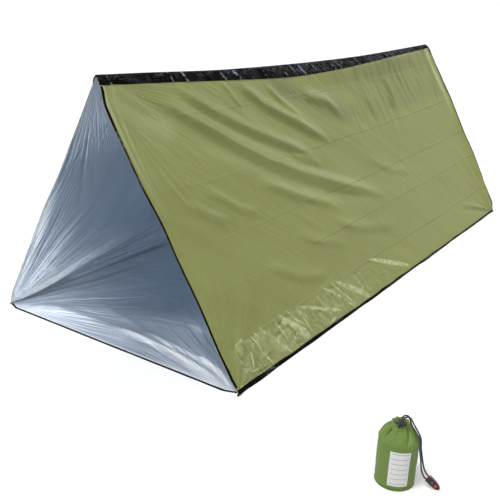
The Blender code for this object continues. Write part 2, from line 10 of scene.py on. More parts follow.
import bpy
import numpy as np
from bpy.props import FloatProperty, FloatVectorProperty, PointerProperty
from mathutils import Matrix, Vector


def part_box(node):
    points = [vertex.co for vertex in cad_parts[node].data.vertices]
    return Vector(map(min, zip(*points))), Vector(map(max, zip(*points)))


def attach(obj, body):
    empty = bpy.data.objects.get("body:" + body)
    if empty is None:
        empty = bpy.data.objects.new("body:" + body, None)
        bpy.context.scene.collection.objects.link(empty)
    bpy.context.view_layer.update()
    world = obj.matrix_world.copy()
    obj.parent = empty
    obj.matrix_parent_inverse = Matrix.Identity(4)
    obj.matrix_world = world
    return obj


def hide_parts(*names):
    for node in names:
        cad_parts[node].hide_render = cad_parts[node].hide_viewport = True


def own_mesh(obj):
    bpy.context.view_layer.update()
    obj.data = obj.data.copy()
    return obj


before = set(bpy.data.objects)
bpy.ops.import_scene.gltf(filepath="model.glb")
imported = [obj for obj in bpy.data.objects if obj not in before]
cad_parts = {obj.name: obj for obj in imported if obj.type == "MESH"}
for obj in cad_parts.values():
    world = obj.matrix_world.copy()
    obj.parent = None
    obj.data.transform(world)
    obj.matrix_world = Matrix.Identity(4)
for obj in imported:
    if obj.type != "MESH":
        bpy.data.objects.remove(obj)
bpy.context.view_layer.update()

bl_info = {
    "name": "Tube tent",
    "version": (1, 0, 0),
    "blender": (4, 5, 0),
    "location": "View3D > Sidebar > Tent",
    "description": "Builds a film tube tent and its stuff sack, piece by piece",
    "category": "Object",
}

FLOOR_LOW, FLOOR_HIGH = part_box("floor_panel")
GAP = 0.0003
SMALL = 1e-9
WELT_RADIUS = 0.0014

# Where the packed film was folded: each crease's share of the slope at the front and at the back
CREASES = [(0.126, 0.143), (0.28, 0.333), (0.432, 0.476), (0.622, 0.671), (0.852, 0.881)]

# Drape folds on the slopes: points as (metres from the front, metres up the slope), width, height
RIGHT_DRAPES = [
    ([(0.03, 0.97), (0.08, 0.93), (0.13, 0.89), (0.18, 0.84)], 0.016, 0.004),
    ([(0.11, 0.96), (0.18, 0.92), (0.27, 0.86), (0.38, 0.78), (0.48, 0.71), (0.6, 0.64),
      (0.76, 0.56), (0.93, 0.49), (1.2, 0.39), (1.42, 0.31)], 0.03, 0.011),
    ([(0.27, 0.96), (0.4, 0.87), (0.48, 0.82), (0.59, 0.76), (0.71, 0.7), (0.84, 0.64),
      (0.98, 0.57)], 0.024, 0.008),
    ([(0.54, 0.95), (0.58, 0.89), (0.61, 0.83)], 0.012, 0.004),
    ([(0.63, 0.95), (0.73, 0.84), (0.82, 0.79), (0.9, 0.75), (0.99, 0.69), (1.1, 0.62)],
     0.026, 0.009),
    ([(0.79, 0.93), (0.84, 0.87), (0.9, 0.81), (0.97, 0.75)], 0.016, 0.004),
    ([(0.22, 0.6), (0.3, 0.55), (0.37, 0.5), (0.48, 0.45)], 0.018, 0.004),
    ([(0.5, 0.57), (0.6, 0.53), (0.7, 0.48), (0.87, 0.41), (0.98, 0.35)], 0.024, 0.006),
    ([(0.12, 0.58), (0.21, 0.51), (0.3, 0.46)], 0.02, 0.004),
    ([(0.77, 0.63), (0.88, 0.59), (0.97, 0.55)], 0.016, 0.004),
    ([(1.02, 0.85), (1.18, 0.81), (1.27, 0.7)], 0.028, 0.006),
    ([(1.0, 0.95), (1.4, 0.94), (1.9, 0.95), (2.43, 0.98)], 0.11, 0.006),
    ([(0.36, 0.3), (0.42, 0.26), (0.51, 0.21), (0.6, 0.18), (0.72, 0.165)], 0.024, 0.0045),
    ([(0.86, 0.33), (1.0, 0.27), (1.16, 0.23), (1.34, 0.2)], 0.026, 0.0045),
    ([(0.6, 0.35), (0.68, 0.3), (0.78, 0.27), (0.9, 0.22)], 0.022, 0.003),
    ([(1.3, 0.52), (1.5, 0.43), (1.72, 0.37)], 0.028, 0.003),
]
# Painted light and shade: broad bands along the right slope's drapes, paler, or darker below 0: points, width
# and strength
ROOF_LIGHT_AND_SHADE_BANDS = [
    ([(0.56, 0.96), (0.624, 0.924), (0.766, 0.82), (0.958, 0.693), (1.107, 0.637), (1.2, 0.6)],
     0.022, -0.55),
    ([(0.78, 0.96), (0.893, 0.901), (1.075, 0.825), (1.296, 0.738), (1.42, 0.69)], 0.045, -0.8),
    ([(0.28, 0.96), (0.358, 0.918), (0.528, 0.791), (0.842, 0.64), (0.95, 0.6)], 0.028, -0.32),
    ([(0.08, 0.96), (0.124, 0.934), (0.342, 0.798), (0.638, 0.642), (1.035, 0.487), (1.15, 0.45)],
     0.02, -0.28),
    ([(0.2, 0.8), (0.272, 0.766), (0.646, 0.563), (1.074, 0.357), (1.2, 0.31)], 0.028, 0.14),
    ([(0.01, 0.96), (0.048, 0.923), (0.123, 0.86), (0.199, 0.817), (0.26, 0.78)], 0.045, 0.24),
]
LEFT_DRAPES = [
    ([(0.45, 0.96), (0.6, 0.86), (0.8, 0.72), (1.02, 0.6), (1.3, 0.48)], 0.028, 0.01),
    ([(0.85, 0.95), (1.0, 0.83), (1.18, 0.72), (1.42, 0.6)], 0.024, 0.008),
    ([(1.25, 0.95), (1.36, 0.84), (1.52, 0.74), (1.7, 0.66)], 0.022, 0.006),
    ([(2.2, 0.95), (2.02, 0.8), (1.8, 0.66), (1.62, 0.52)], 0.026, 0.007),
    ([(0.62, 0.5), (0.8, 0.42), (1.02, 0.36), (1.22, 0.33)], 0.022, 0.005),
]

# Painted glints along creases at the foot of the right slope: start and end as (metres from the front, metres
# up the slope), width and strength
FOOT_GLINTS = [
    ((0.296, 0.16), (0.45, 0.005), 0.026, 1.5), ((0.69, 0.145), (0.92, -0.01), 0.026, 1.5),
    ((0.655, 0.17), (0.785, -0.005), 0.009, 1.6), ((0.59, 0.158), (0.712, 0.06), 0.009, 1.5),
    ((0.7, 0.07), (0.77, -0.005), 0.009, 1.3), ((0.405, 0.14), (0.7, 0.016), 0.016, 1.4),
    ((0.92, 0.168), (1.33, 0.0), 0.02, 1.5), ((0.145, 0.156), (0.21, -0.015), 0.009, 1.4),
    ((0.28, 0.16), (0.33, 0.01), 0.009, 1.3), ((0.42, 0.158), (0.46, 0.0), 0.008, 1.3),
    ((0.355, 0.152), (0.44, 0.045), 0.008, 1.3), ((0.172, 0.138), (0.208, 0.078), 0.01, 1.3),
    ((0.208, 0.142), (0.228, 0.1), 0.009, 1.2), ((0.07, 0.12), (0.125, 0.134), 0.012, 1.2),
    ((0.134, 0.1), (0.104, 0.02), 0.009, 1.2), ((0.085, 0.034), (0.145, 0.026), 0.009, 1.1),
    ((0.01, 0.014), (0.09, 0.008), 0.008, 1.3), ((0.22, 0.125), (0.32, -0.01), 0.018, 1.1),
    ((0.345, 0.095), (0.43, 0.0), 0.02, 1.0), ((0.25, 0.07), (0.33, 0.08), 0.012, 1.1),
    ((0.84, 0.135), (0.872, 0.025), 0.008, 1.1), ((0.885, 0.064), (0.918, 0.018), 0.008, 1.1),
    ((0.64, 0.024), (0.55, 0.01), 0.009, 1.1),
]

# Folds along the front of the floor: points as (metres right of the middle, metres from the front), width,
# height from 0 to 1, and how far painted light pales the film there, or painted shade darkens it below 0
FLOOR_FOLDS = [
    ([(-0.1, 0.08), (0.05, 0.085), (0.183, 0.078), (0.293, 0.059), (0.372, 0.044), (0.449, 0.026),
      (0.52, 0.0)], 0.011, 1.0, 1.0),
    ([(0.27, 0.104), (0.317, 0.092), (0.384, 0.071), (0.435, 0.045), (0.482, 0.019), (0.51, 0.0)],
     0.007, 0.8, 1.0),
    ([(0.02, 0.128), (0.152, 0.114), (0.234, 0.103), (0.314, 0.089), (0.39, 0.06)], 0.01, 0.7, 0.4),
    ([(0.06, -0.002), (0.15, 0.006), (0.22, 0.01), (0.297, 0.003)], 0.007, 0.2, 1.0),
    ([(0.39, 0.024), (0.421, 0.021), (0.454, 0.008), (0.5, -0.005)], 0.007, 0.2, 0.9),
    ([(-0.46, 0.04), (-0.312, 0.068), (-0.114, 0.074), (0.04, 0.055), (0.16, 0.04)], 0.03, 0.9, 0.3),
    ([(-0.2, 0.0), (-0.005, 0.006), (0.111, 0.02), (0.22, 0.03), (0.342, 0.026), (0.46, 0.011)],
     0.009, -0.6, -0.4),
    ([(0.1, 0.1), (0.248, 0.085), (0.355, 0.066), (0.436, 0.033), (0.49, 0.01)], 0.008, -0.8, -0.55),
    ([(-0.05, 0.225), (0.042, 0.243), (0.101, 0.266), (0.183, 0.246), (0.26, 0.215)], 0.005, 0.4, 0.25),
    ([(0.093, 0.301), (0.167, 0.256), (0.225, 0.235), (0.3, 0.19)], 0.005, 0.4, 0.3),
    ([(-0.5, 0.006), (-0.44, 0.012), (-0.37, 0.008), (-0.25, 0.002)], 0.007, 0.2, 0.9),
    ([(-0.505, 0.01), (-0.5, 0.18), (-0.47, 0.398)], 0.007, 0.3, 0.75),
    ([(-0.5, 0.01), (-0.431, 0.306), (-0.346, 0.6)], 0.006, 0.3, 0.65),
    ([(-0.495, 0.012), (-0.374, 0.273), (-0.33, 0.499)], 0.005, 0.3, 0.55),
    ([(-0.49, 0.01), (-0.4, 0.11), (-0.314, 0.246)], 0.006, 0.2, 0.65),
    ([(-0.5, 0.02), (-0.455, 0.25), (-0.4, 0.66)], 0.009, -0.3, -0.6),
    ([(-0.495, 0.02), (-0.401, 0.277), (-0.339, 0.521)], 0.005, -0.3, -0.5),
]

# Painted light: bright rays out of the left slope's front foot corner: metres from the front and metres up the
# slope at their end, and strength
CORNER_RAYS = [
    (0.33, 0.245, 0.8),
    (0.372, 0.192, 0.75),
    (0.164, 0.335, 0.6),
    (0.24, 0.23, 0.55),
    (0.3, 0.12, 0.45),
    (0.11, 0.36, 0.55),
]

# Folds across the ridge strip: metres from the front, how far back they lean, width and height from 0 to 1
RIDGE_FOLDS = [
    (0.04, 0.03, 0.007, 0.8), (0.3, 0.035, 0.01, 1.1), (0.365, 0.045, 0.011, 1.1),
    (0.495, 0.04, 0.005, 0.7), (0.56, 0.05, 0.01, 1.0), (0.635, 0.06, 0.016, 1.1),
    (0.72, 0.05, 0.005, 0.6), (0.805, 0.06, 0.008, 0.9), (0.88, 0.05, 0.005, 0.7),
    (0.94, 0.06, 0.009, 0.9), (1.01, 0.06, 0.008, 0.9), (1.07, 0.06, 0.013, 1.1),
    (1.165, 0.06, 0.009, 1.0), (1.22, 0.06, 0.008, 0.9), (1.315, 0.06, 0.009, 1.0),
    (1.37, 0.065, 0.009, 0.9), (1.47, 0.07, 0.007, 0.7), (1.56, 0.07, 0.008, 0.8),
    (1.7, 0.075, 0.008, 0.7), (1.86, 0.08, 0.009, 0.8), (2.05, 0.08, 0.009, 0.7),
]

# Gathers of the sack: place at the neck, place at the foot of the gather, both in degrees round the sack,
# depth from 0 to 1, width in degrees and height at which it starts
SACK_PLEATS = [
    (-141, -153, 1.25, 9, 0.1),
    (-118, -128, 0.45, 7, 0.126),
    (-96, -98, 0.7, 6, 0.138),
    (-40, -62, 1.25, 7, 0.112),
    (-12, -24, 0.55, 8, 0.118),
    (20, 12, 0.85, 9, 0.104),
    (47, 43, 0.5, 7, 0.122),
    (74, 70, 0.9, 9, 0.108),
    (102, 106, 0.5, 7, 0.124),
    (130, 127, 0.8, 9, 0.11),
    (158, 161, 0.55, 7, 0.122),
    (187, 183, 0.9, 9, 0.104),
]

# Each drawcord strand's free run between the cord lock and the whistle, in the sack's own frame
STRAND_RUNS = {
    "drawcord_strand_a": [
        (0.0086, -0.0192, 0.1846), (0.0122, -0.0198, 0.1871), (0.0166, -0.0199, 0.1875),
        (0.0206, -0.0196, 0.1856), (0.0235, -0.019, 0.1822), (0.0305, -0.0172, 0.169),
        (0.0383, -0.0148, 0.1555), (0.0453, -0.012, 0.142), (0.0495, -0.0095, 0.131),
        (0.0514, -0.0078, 0.12), (0.0524, -0.0066, 0.108), (0.0545, -0.0058, 0.095),
        (0.0575, -0.0055, 0.082), (0.0602, -0.0057, 0.069), (0.0632, -0.0066, 0.057),
        (0.0675, -0.008, 0.046),
    ],
    "drawcord_strand_b": [
        (0.0042, -0.0164, 0.1855), (0.0078, -0.0153, 0.188), (0.0122, -0.015, 0.1884),
        (0.0161, -0.0152, 0.1865), (0.0187, -0.0156, 0.183), (0.0213, -0.0162, 0.176),
        (0.025, -0.0168, 0.167), (0.0305, -0.0168, 0.1575), (0.0375, -0.0163, 0.1475),
        (0.0445, -0.0156, 0.137), (0.0491, -0.0148, 0.125), (0.05, -0.0139, 0.112),
        (0.0508, -0.0128, 0.1), (0.0533, -0.0116, 0.086), (0.0562, -0.0108, 0.07),
        (0.0582, -0.0104, 0.056), (0.0612, -0.01, 0.043),
    ],
}


def length(text, default, **more):
    """A length that a user may set, in metres."""
    return FloatProperty(name=text, description=text, default=default, unit="LENGTH", precision=4, **more)


def number(text, default):
    """A plain number that a user may set."""
    return FloatProperty(name=text, description=text, default=default)


def angle(text, degrees):
    """An angle that a user may set, given in degrees."""
    return FloatProperty(name=text, description=text, default=math.radians(degrees), subtype="ANGLE")


def colour(text, default):
    """A colour that a user may set."""
    return FloatVectorProperty(
        name=text, description=text, default=default, subtype="COLOR", size=3, min=0, max=1
    )


class TentSizes(bpy.types.PropertyGroup):
    """The pitched tent."""

    tent_length: length("Length of the floor", round(FLOOR_HIGH.y - FLOOR_LOW.y, 4))
    floor_width: length("Width between the eaves", 1.014)
    ridge_height: length("Height of the ridge's ends", 0.853)
    overhang: length("How far the ridge reaches past each end", 0.025)
    ridge_sag: length("Sag of the ridge in the middle", 0.024)
    back_bow: length("How far the back edge bows out", 0.026)
    back_flap: length("How far the back edge turns outwards", 0.012)
    front_bow: length("How far the right slope's front edge bows out below the ridge", 0.013)
    floor_lip: length("How far the floor's front edge reaches past the slopes", 0.014)
    strip_puff: length("How far the fold of the ridge strip puffs up at the front", 0.0055)
    film: length("Thickness of the film", 0.0006)
    tape: length("Thickness of the tapes and the ridge strip", 0.0005)
    hem_width: length("Width of the tape on the free edges", 0.008)
    eave_tape: length("Height of the tape on the eaves", 0.018)
    eave_flange: length("Width of the eave tape on the ground", 0.006)
    lowest_ridge: length("Height of the ridge when it is let down", 0.113)


class FoldSizes(bpy.types.PropertyGroup):
    """The folds in the film."""

    crease_rise: length("Rise between the packing creases", 0.0022)
    crease_depth: length("Depth of the line along a packing crease", 0.0004)
    slack: length("How far a slope hangs inwards", 0.006)
    drape: number("Scale of the drapes' heights", 1.7)
    drape_width: number("Scale of the drapes' widths", 0.8)
    crinkle: length("Height of the crinkles over the whole film", 0.0018)
    foot_crinkle: length("Height of the crinkles above the eaves", 0.0045)
    gather: length("Height of the gathers below the ridge", 0.0045)
    corner_pull: length("Height of the folds pulled out of a corner", 0.0080)
    floor_fold: length("Height of the folds on the floor", 0.0065)


class SackSizes(bpy.types.PropertyGroup):
    """The stuff sack."""

    place_x: length("Across to the sack", 1.028)
    place_y: length("Along to the sack", -1.305)
    turn: angle("Turn of the sack", 19.5)
    radius: length("Radius of the wall", 0.048)
    shoulder: length("Height of the shoulder", 0.118)
    neck_radius: length("Radius of the neck", 0.024)
    neck: length("Height of the neck", 0.1515)
    top: length("Height of the collar", 0.1612)
    cloth: length("Thickness of the cloth", 0.0006)
    pleat: length("Depth of the gathers at the neck", 0.0085)


class CordSizes(bpy.types.PropertyGroup):
    """The drawcord, the cord lock and the whistle on it."""

    radius: length("Radius of the cord", 0.0020)
    spacing: length("Between the two strands in the lock", 0.0045)
    draw_radius: length("Radius of the loop round the mouth", 0.0176)
    lock_x: length("Across to the lock", 0.0023)
    lock_z: length("Height of the lock", 0.1682)
    lock_tilt: angle("Tilt of the lock", 11)
    lock_radius: length("Radius of the lock's barrel", 0.0046)
    lock_travel: length("How far the lock slides", 0.005)
    button_travel: length("How far the lock's button goes in", 0.0025)
    strand_foot: length("Start of a strand below the barrel", 0.0014)
    whistle_x: length("Across to the whistle", 0.0770)
    whistle_y: length("Along to the whistle", -0.0095)
    whistle_z: length("Height of the whistle", 0.0276)
    whistle_dip: angle("Dip of the whistle", 41)
    socket_spread: length("From the whistle's middle to a cord socket", 0.0050)
    socket_depth: length("Depth of a cord socket", 0.0040)


class Finishes(bpy.types.PropertyGroup):
    """Colours of the finishes."""

    olive: colour("Film outside", (0.300, 0.318, 0.108))
    # Paler outside film: whitened creases, and painted highlights, glints and light bands on the folds
    olive_whitened_and_highlit: colour("Film outside where creases have paled it", (0.66, 0.72, 0.40))
    silver: colour("Film inside", (0.69, 0.79, 0.91))
    # Paler inside film: painted light in rays, a glow, bands and highlights on the folds
    silver_painted_light: colour("Film inside where creases have paled it", (0.97, 0.985, 1.0))
    black_film: colour("Ridge strip and tapes", (0.0052, 0.0044, 0.0034))
    # Painted glints and highlights on the ridge strip and the tapes
    black_painted_glint: colour("Ridge strip where creases have paled it", (0.42, 0.50, 0.66))
    cloth: colour("Sack cloth", (0.152, 0.240, 0.042))
    panel: colour("Writing panel", (0.83, 0.83, 0.83))
    cord: colour("Drawcord", (0.016, 0.016, 0.017))
    plastic: colour("Cord lock and whistle plates", (0.022, 0.022, 0.024))
    button: colour("Cord lock button", (0.085, 0.085, 0.090))
    orange: colour("Whistle core", (0.860, 0.085, 0.012))
    steel: colour("Spring and pin", (0.56, 0.56, 0.57))


class StageSettings(bpy.types.PropertyGroup):
    """Camera, light and ground."""

    camera_place: FloatVectorProperty(
        name="Camera", description="Place of the camera", default=(1.526, -2.711, 1.091),
        subtype="TRANSLATION",
    )
    heading: angle("Turn to the left of the ridge", 33.758)
    tilt: angle("Tilt below level", 19.719)
    roll: angle("Roll of the camera", 2.092)
    lens: number("Focal length in millimetres", 51.583)
    sky: number("Level of the even light", 0.46)
    key: number("Level of the key sun", 1.9)
    glint: number("Level of the low sun behind, for glints", 0.22)
    opening: number("Watts of the soft lamp at the opening", 0.5)
    ground_size: length("Width of the ground", 400.0)


def unit(vectors):
    """Vectors divided by their own lengths."""
    return vectors / np.maximum(np.linalg.norm(vectors, axis=-1, keepdims=True), SMALL)


def stacked(*parts):
    """Arrays spread to one shape and joined as the parts of points."""
    return np.stack(np.broadcast_arrays(*parts), -1)


def ease(t):
    """0 below 0, 1 above 1 and 3t^2 - 2t^3 between."""
    t = np.clip(t, 0, 1)
    return t * t * (3 - 2 * t)


def bell(off, width):
    """1 in the middle, falling by e^-(off / width)^2."""
    return np.exp(-((off / width) ** 2))


def lattice(x, y, seed):
    """Smooth noise from -1 to 1: seeded heights at whole-number corners, blended by 6t^5 - 15t^4 + 10t^3."""
    table = np.random.default_rng(seed).uniform(-1, 1, (128, 128))
    left, low = np.floor(x).astype(int), np.floor(y).astype(int)
    s, t = x - left, y - low
    s, t = (w**3 * (w * (6 * w - 15) + 10) for w in (s, t))
    near = table[left % 128, low % 128] * (1 - s) + table[(left + 1) % 128, low % 128] * s
    far = table[left % 128, (low + 1) % 128] * (1 - s) + table[(left + 1) % 128, (low + 1) % 128] * s
    return near * (1 - t) + far * t


def crest(x, y, start, end, widths, height, sharp=0.8):
    """A straight fold: a tent or a bell across it, as sharp goes from 1 to 0, and a parabola along it."""
    run = np.subtract(end, start)
    long = math.hypot(*run)
    t = ((x - start[0]) * run[0] + (y - start[1]) * run[1]) / long**2
    off = np.abs((x - start[0]) * run[1] - (y - start[1]) * run[0]) / long
    off = off / (widths[0] + (widths[1] - widths[0]) * np.clip(t, 0, 1))
    across = sharp * np.clip(1 - off, 0, 1) + (1 - sharp) * np.exp(-2 * off**2)
    return height * across * np.clip(1 - (2 * t - 1) ** 2, 0, 1)


def drape(x, y, points, width, height, lean=0.0):
    """A soft fold along a bent line: a bell of the distance to the line, faded over its first and last fifth.

    Lean is how much wider the bell is on the left of the line than on its right, as a share from 0 to 1.
    """
    line = np.array(points, float)
    steps = np.hypot(*np.diff(line, axis=0).T)
    total = steps.sum()
    nearest = np.full(np.shape(x), 9.0)
    reach, side = np.zeros(np.shape(x)), np.zeros(np.shape(x))
    gone = 0.0
    for (ax, ay), (bx, by), step in zip(line, line[1:], steps):
        t = np.clip(((x - ax) * (bx - ax) + (y - ay) * (by - ay)) / step**2, 0, 1)
        off = np.hypot(x - ax - t * (bx - ax), y - ay - t * (by - ay))
        reach = np.where(off < nearest, (gone + t * step) / total, reach)
        side = np.where(off < nearest, np.sign((bx - ax) * (y - ay) - (by - ay) * (x - ax)), side)
        nearest = np.minimum(off, nearest)
        gone += step
    fade = ease(reach / 0.2) * ease((1 - reach) / 0.3)
    return height * fade * np.exp(-((nearest / width / (1 + lean * side)) ** 2))


def scattered(x, y, area, count, lengths, widths, heights, turns, seed, sharp=0.8):
    """Straight folds at seeded places in area = (low x, high x, low y, high y)."""
    draw = np.random.default_rng(seed)
    total = np.zeros(np.shape(x))
    for _ in range(count):
        middle = draw.uniform((area[0], area[2]), (area[1], area[3]))
        turn, long = draw.uniform(*turns), draw.uniform(*lengths)
        half = np.array((math.cos(turn), math.sin(turn))) * long / 2
        width = draw.uniform(*widths)
        height = draw.uniform(*heights) * draw.choice((-1, 1))
        total += crest(x, y, middle - half, middle + half, (width, width), height, sharp)
    return total


def fan(x, y, corner, turns, count, reaches, height, seed, sharp=0.7):
    """Folds pulled out of a corner: each widens with its distance from the corner."""
    draw = np.random.default_rng(seed)
    total = np.zeros(np.shape(x))
    for turn in np.linspace(*turns, count) + draw.uniform(-0.5, 0.5, count) * (turns[1] - turns[0]) / count:
        way = np.array((math.cos(turn), math.sin(turn)))
        reach = draw.uniform(*reaches)
        spread = abs(turns[1] - turns[0]) / count * draw.uniform(0.35, 0.75)
        widths = (0.002, 0.002 + reach * spread)
        size = height * draw.uniform(0.3, 1.0) * draw.choice((-0.6, 1))
        total += crest(x, y, corner - 0.12 * reach * way, corner + reach * way, widths, size, sharp)
    return total


def grid_faces(rows, columns, wrapped=False, start=0):
    """Quads over a rows by columns grid of points, joined round from the last row to the first if wrapped."""
    row = np.arange(rows if wrapped else rows - 1)
    column = np.arange(columns - 1)
    low = row[:, None] * columns + column
    high = ((row[:, None] + 1) % rows) * columns + column
    return start + np.stack([low, low + 1, high + 1, high], -1).reshape(-1, 4)


def make_mesh(name, points, faces, maps=None, slots=None, masks=None):
    """A mesh object from arrays: quads with a material each, UV maps and masks with a value at each point."""
    mesh = bpy.data.meshes.new(name)
    faces = np.asarray(faces, np.int32)
    mesh.vertices.add(len(points))
    mesh.vertices.foreach_set("co", np.asarray(points, np.float32).ravel())
    mesh.loops.add(faces.size)
    mesh.loops.foreach_set("vertex_index", faces.ravel())
    mesh.polygons.add(len(faces))
    mesh.polygons.foreach_set("loop_start", np.arange(0, faces.size, 4, dtype=np.int32))
    if slots is not None:
        mesh.polygons.foreach_set("material_index", np.asarray(slots, np.int32))
    for label, values in (maps or {}).items():
        layer = mesh.uv_layers.new(name=label)
        layer.uv.foreach_set("vector", np.asarray(values, np.float32)[faces.ravel()].ravel())
    for mask, values in (masks or {}).items():
        layer = mesh.attributes.new(mask, "FLOAT", "POINT")
        layer.data.foreach_set("value", np.asarray(values, np.float32).ravel())
    mesh.update(calc_edges=True)
    mesh.shade_smooth()
    piece = bpy.data.objects.new(name, mesh)
    bpy.context.scene.collection.objects.link(piece)
    return piece


def shell(name, middle, thickness, maps, outward=None, wrapped=False, masks=None):
    """A sheet of even thickness about a grid of points, closed all round.

    The outer layer is the grid moved out by half the thickness, the inner layer the same moved in. The way out
    is given, or is the cross product of the grid's two directions. Outer faces and rims take the first material
    and inner faces the second.
    """
    rows, columns = middle.shape[:2]
    if outward is None:
        down = np.gradient(middle, axis=0)
        if wrapped:
            down = (np.roll(middle, -1, 0) - np.roll(middle, 1, 0)) / 2
        outward = unit(np.cross(np.gradient(middle, axis=1), down))
    outer = (middle + outward * thickness / 2).reshape(-1, 3)
    inner = (middle - outward * thickness / 2).reshape(-1, 3)
    count = rows * columns
    outside = grid_faces(rows, columns, wrapped)
    inside = grid_faces(rows, columns, wrapped, count)[:, [0, 3, 2, 1]]
    index = np.arange(count).reshape(rows, columns)
    edges = [(index[:, 0], False), (index[:, -1], True)]
    if not wrapped:
        edges += [(index[0], True), (index[-1], False)]
    rims = []
    for line, turned in edges:
        a, b = (line, np.roll(line, -1)) if wrapped else (line[:-1], line[1:])
        rim = np.stack([a, b, b + count, a + count], -1)
        rims.append(rim[:, ::-1] if turned else rim)
    faces = np.concatenate([outside, inside, *rims])
    slots = np.zeros(len(faces), int)
    slots[len(outside): len(outside) + len(inside)] = 1
    double = {key: np.concatenate([np.ravel(value)] * 2) for key, value in (masks or {}).items()}
    flat = {key: np.concatenate([value.reshape(-1, 2)] * 2) for key, value in maps.items()}
    return make_mesh(name, np.concatenate([outer, inner]), faces, flat, slots, double)


def finish_piece(piece, body, slot, *nodes, materials=()):
    """Gives a piece its materials, its body, its record slot and the solids that it stands for."""
    for one in materials:
        piece.data.materials.append(one)
    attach(piece, body)
    if nodes:
        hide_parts(*nodes)
    return piece


# Materials


def shader_group(name, inputs, outputs):
    """An empty shader group and its ends: a vector and numbers go in, numbers come out."""
    group = bpy.data.node_groups.new(name, "ShaderNodeTree")
    group.interface.new_socket("Vector", in_out="INPUT", socket_type="NodeSocketVector")
    for label, value in inputs.items():
        socket = group.interface.new_socket(label, in_out="INPUT", socket_type="NodeSocketFloat")
        socket.default_value = value
    for label in outputs:
        group.interface.new_socket(label, in_out="OUTPUT", socket_type="NodeSocketFloat")
    enter, leave = group.nodes.new("NodeGroupInput"), group.nodes.new("NodeGroupOutput")
    return group, enter.outputs, leave.inputs


def join(tree, value, socket):
    """Joins a socket to another, or sets it to a value."""
    if isinstance(value, bpy.types.NodeSocket):
        tree.links.new(value, socket)
    else:
        socket.default_value = value


def node(tree, kind, settings=None, **inputs):
    """A node with its settings, and each input, by its name or as i and its number, set or joined."""
    made = tree.nodes.new("ShaderNode" + kind)
    for key, value in (settings or {}).items():
        setattr(made, key, value)
    for key, value in inputs.items():
        numbered = key[0] == "i" and key[1:].isdigit()
        join(tree, value, made.inputs[int(key[1:]) if numbered else key.replace("_", " ")])
    return made


def maths(tree, operation, a, b=0.0, clamp=False):
    """One of Blender's operations on one or two numbers."""
    settings = {"operation": operation, "use_clamp": clamp}
    return node(tree, "Math", settings, i0=a, i1=b).outputs[0]


def times(tree, a, b):
    """Product of two numbers."""
    return maths(tree, "MULTIPLY", a, b)


def plus(tree, a, b):
    """Sum of two numbers."""
    return maths(tree, "ADD", a, b)


def less(tree, a, b):
    """First number less the second."""
    return maths(tree, "SUBTRACT", a, b)


def most(tree, a, b):
    """Larger of two numbers."""
    return maths(tree, "MAXIMUM", a, b)


def size_of(tree, a):
    """A number without its sign."""
    return maths(tree, "ABSOLUTE", a)


def mixed(tree, share, a, b):
    """One colour blended to another by a share."""
    return node(tree, "Mix", {"data_type": "RGBA"}, i0=share, i6=a, i7=b).outputs[2]


def spread(tree, value, low, high, out_low=0.0, out_high=1.0):
    """A value's range low to high carried to another range, clamped."""
    return node(
        tree, "MapRange", {"clamp": True},
        Value=value, From_Min=low, From_Max=high, To_Min=out_low, To_Max=out_high,
    ).outputs[0]


def vector_maths(tree, operation, a, output=0, **more):
    """One of Blender's operations on vectors."""
    return node(tree, "VectorMath", {"operation": operation}, i0=a, **more).outputs[output]


def noise(tree, vector, scale, detail, roughness=0.5, dimensions="2D"):
    """Cloudy noise over a vector."""
    return node(
        tree, "TexNoise", {"noise_dimensions": dimensions},
        Vector=vector, Scale=scale, Detail=detail, Roughness=roughness,
    )


def laid(tree, vector, sizes, slant):
    """A vector turned by a slant and counted in lengths and widths of one facet or streak."""
    return node(
        tree, "Mapping", {"vector_type": "TEXTURE"},
        Vector=vector, Scale=(*sizes, 1.0), Rotation=(0, 0, slant),
    ).outputs[0]


def crumpled_film_group():
    """Crumpled film: flat facets, each tilted its own way, and the lines between them.

    Height, in metres, is a point's place in its facet times the facet's own tilt. Lines is 1 on the facets'
    edges, and Facet is a value of its own for each facet.
    """
    group, enter, leave = shader_group(
        "crumpled_film", {"Size": 30.0, "Tilt": 0.5}, ("Height", "Lines", "Facet"))
    half = (0.5, 0.5, 0.5)
    plain = vector_maths(group, "SCALE", enter[0], Scale=enter[1])
    pushed = vector_maths(group, "SUBTRACT", noise(group, plain, 0.7, 2.0).outputs["Color"], i1=half)
    scaled = vector_maths(group, "MULTIPLY_ADD", pushed, i1=(1.6, 1.6, 0.0), i2=plain)
    cells = node(group, "TexVoronoi", {"voronoi_dimensions": "2D"}, Vector=scaled, Scale=1.0)
    local = vector_maths(group, "SUBTRACT", scaled, i1=cells.outputs["Position"])
    tilt = vector_maths(group, "SUBTRACT", cells.outputs["Color"], i1=half)
    rise = times(group, vector_maths(group, "DOT_PRODUCT", local, "Value", i1=tilt), enter[2])
    group.links.new(maths(group, "DIVIDE", rise, enter[1]), leave[0])
    shades = node(group, "SeparateColor", None, Color=cells.outputs["Color"])
    group.links.new(shades.outputs[2], leave[2])
    edges = node(
        group, "TexVoronoi", {"voronoi_dimensions": "2D", "feature": "DISTANCE_TO_EDGE"},
        Vector=scaled, Scale=1.0)
    wide = spread(group, noise(group, scaled, 0.9, 1.0).outputs[0], 0.45, 0.65, 0.0, 0.1)
    off = maths(group, "DIVIDE", edges.outputs["Distance"], plus(group, wide, 0.001))
    group.links.new(maths(group, "SUBTRACT", 1.0, off, True), leave[1])
    return group


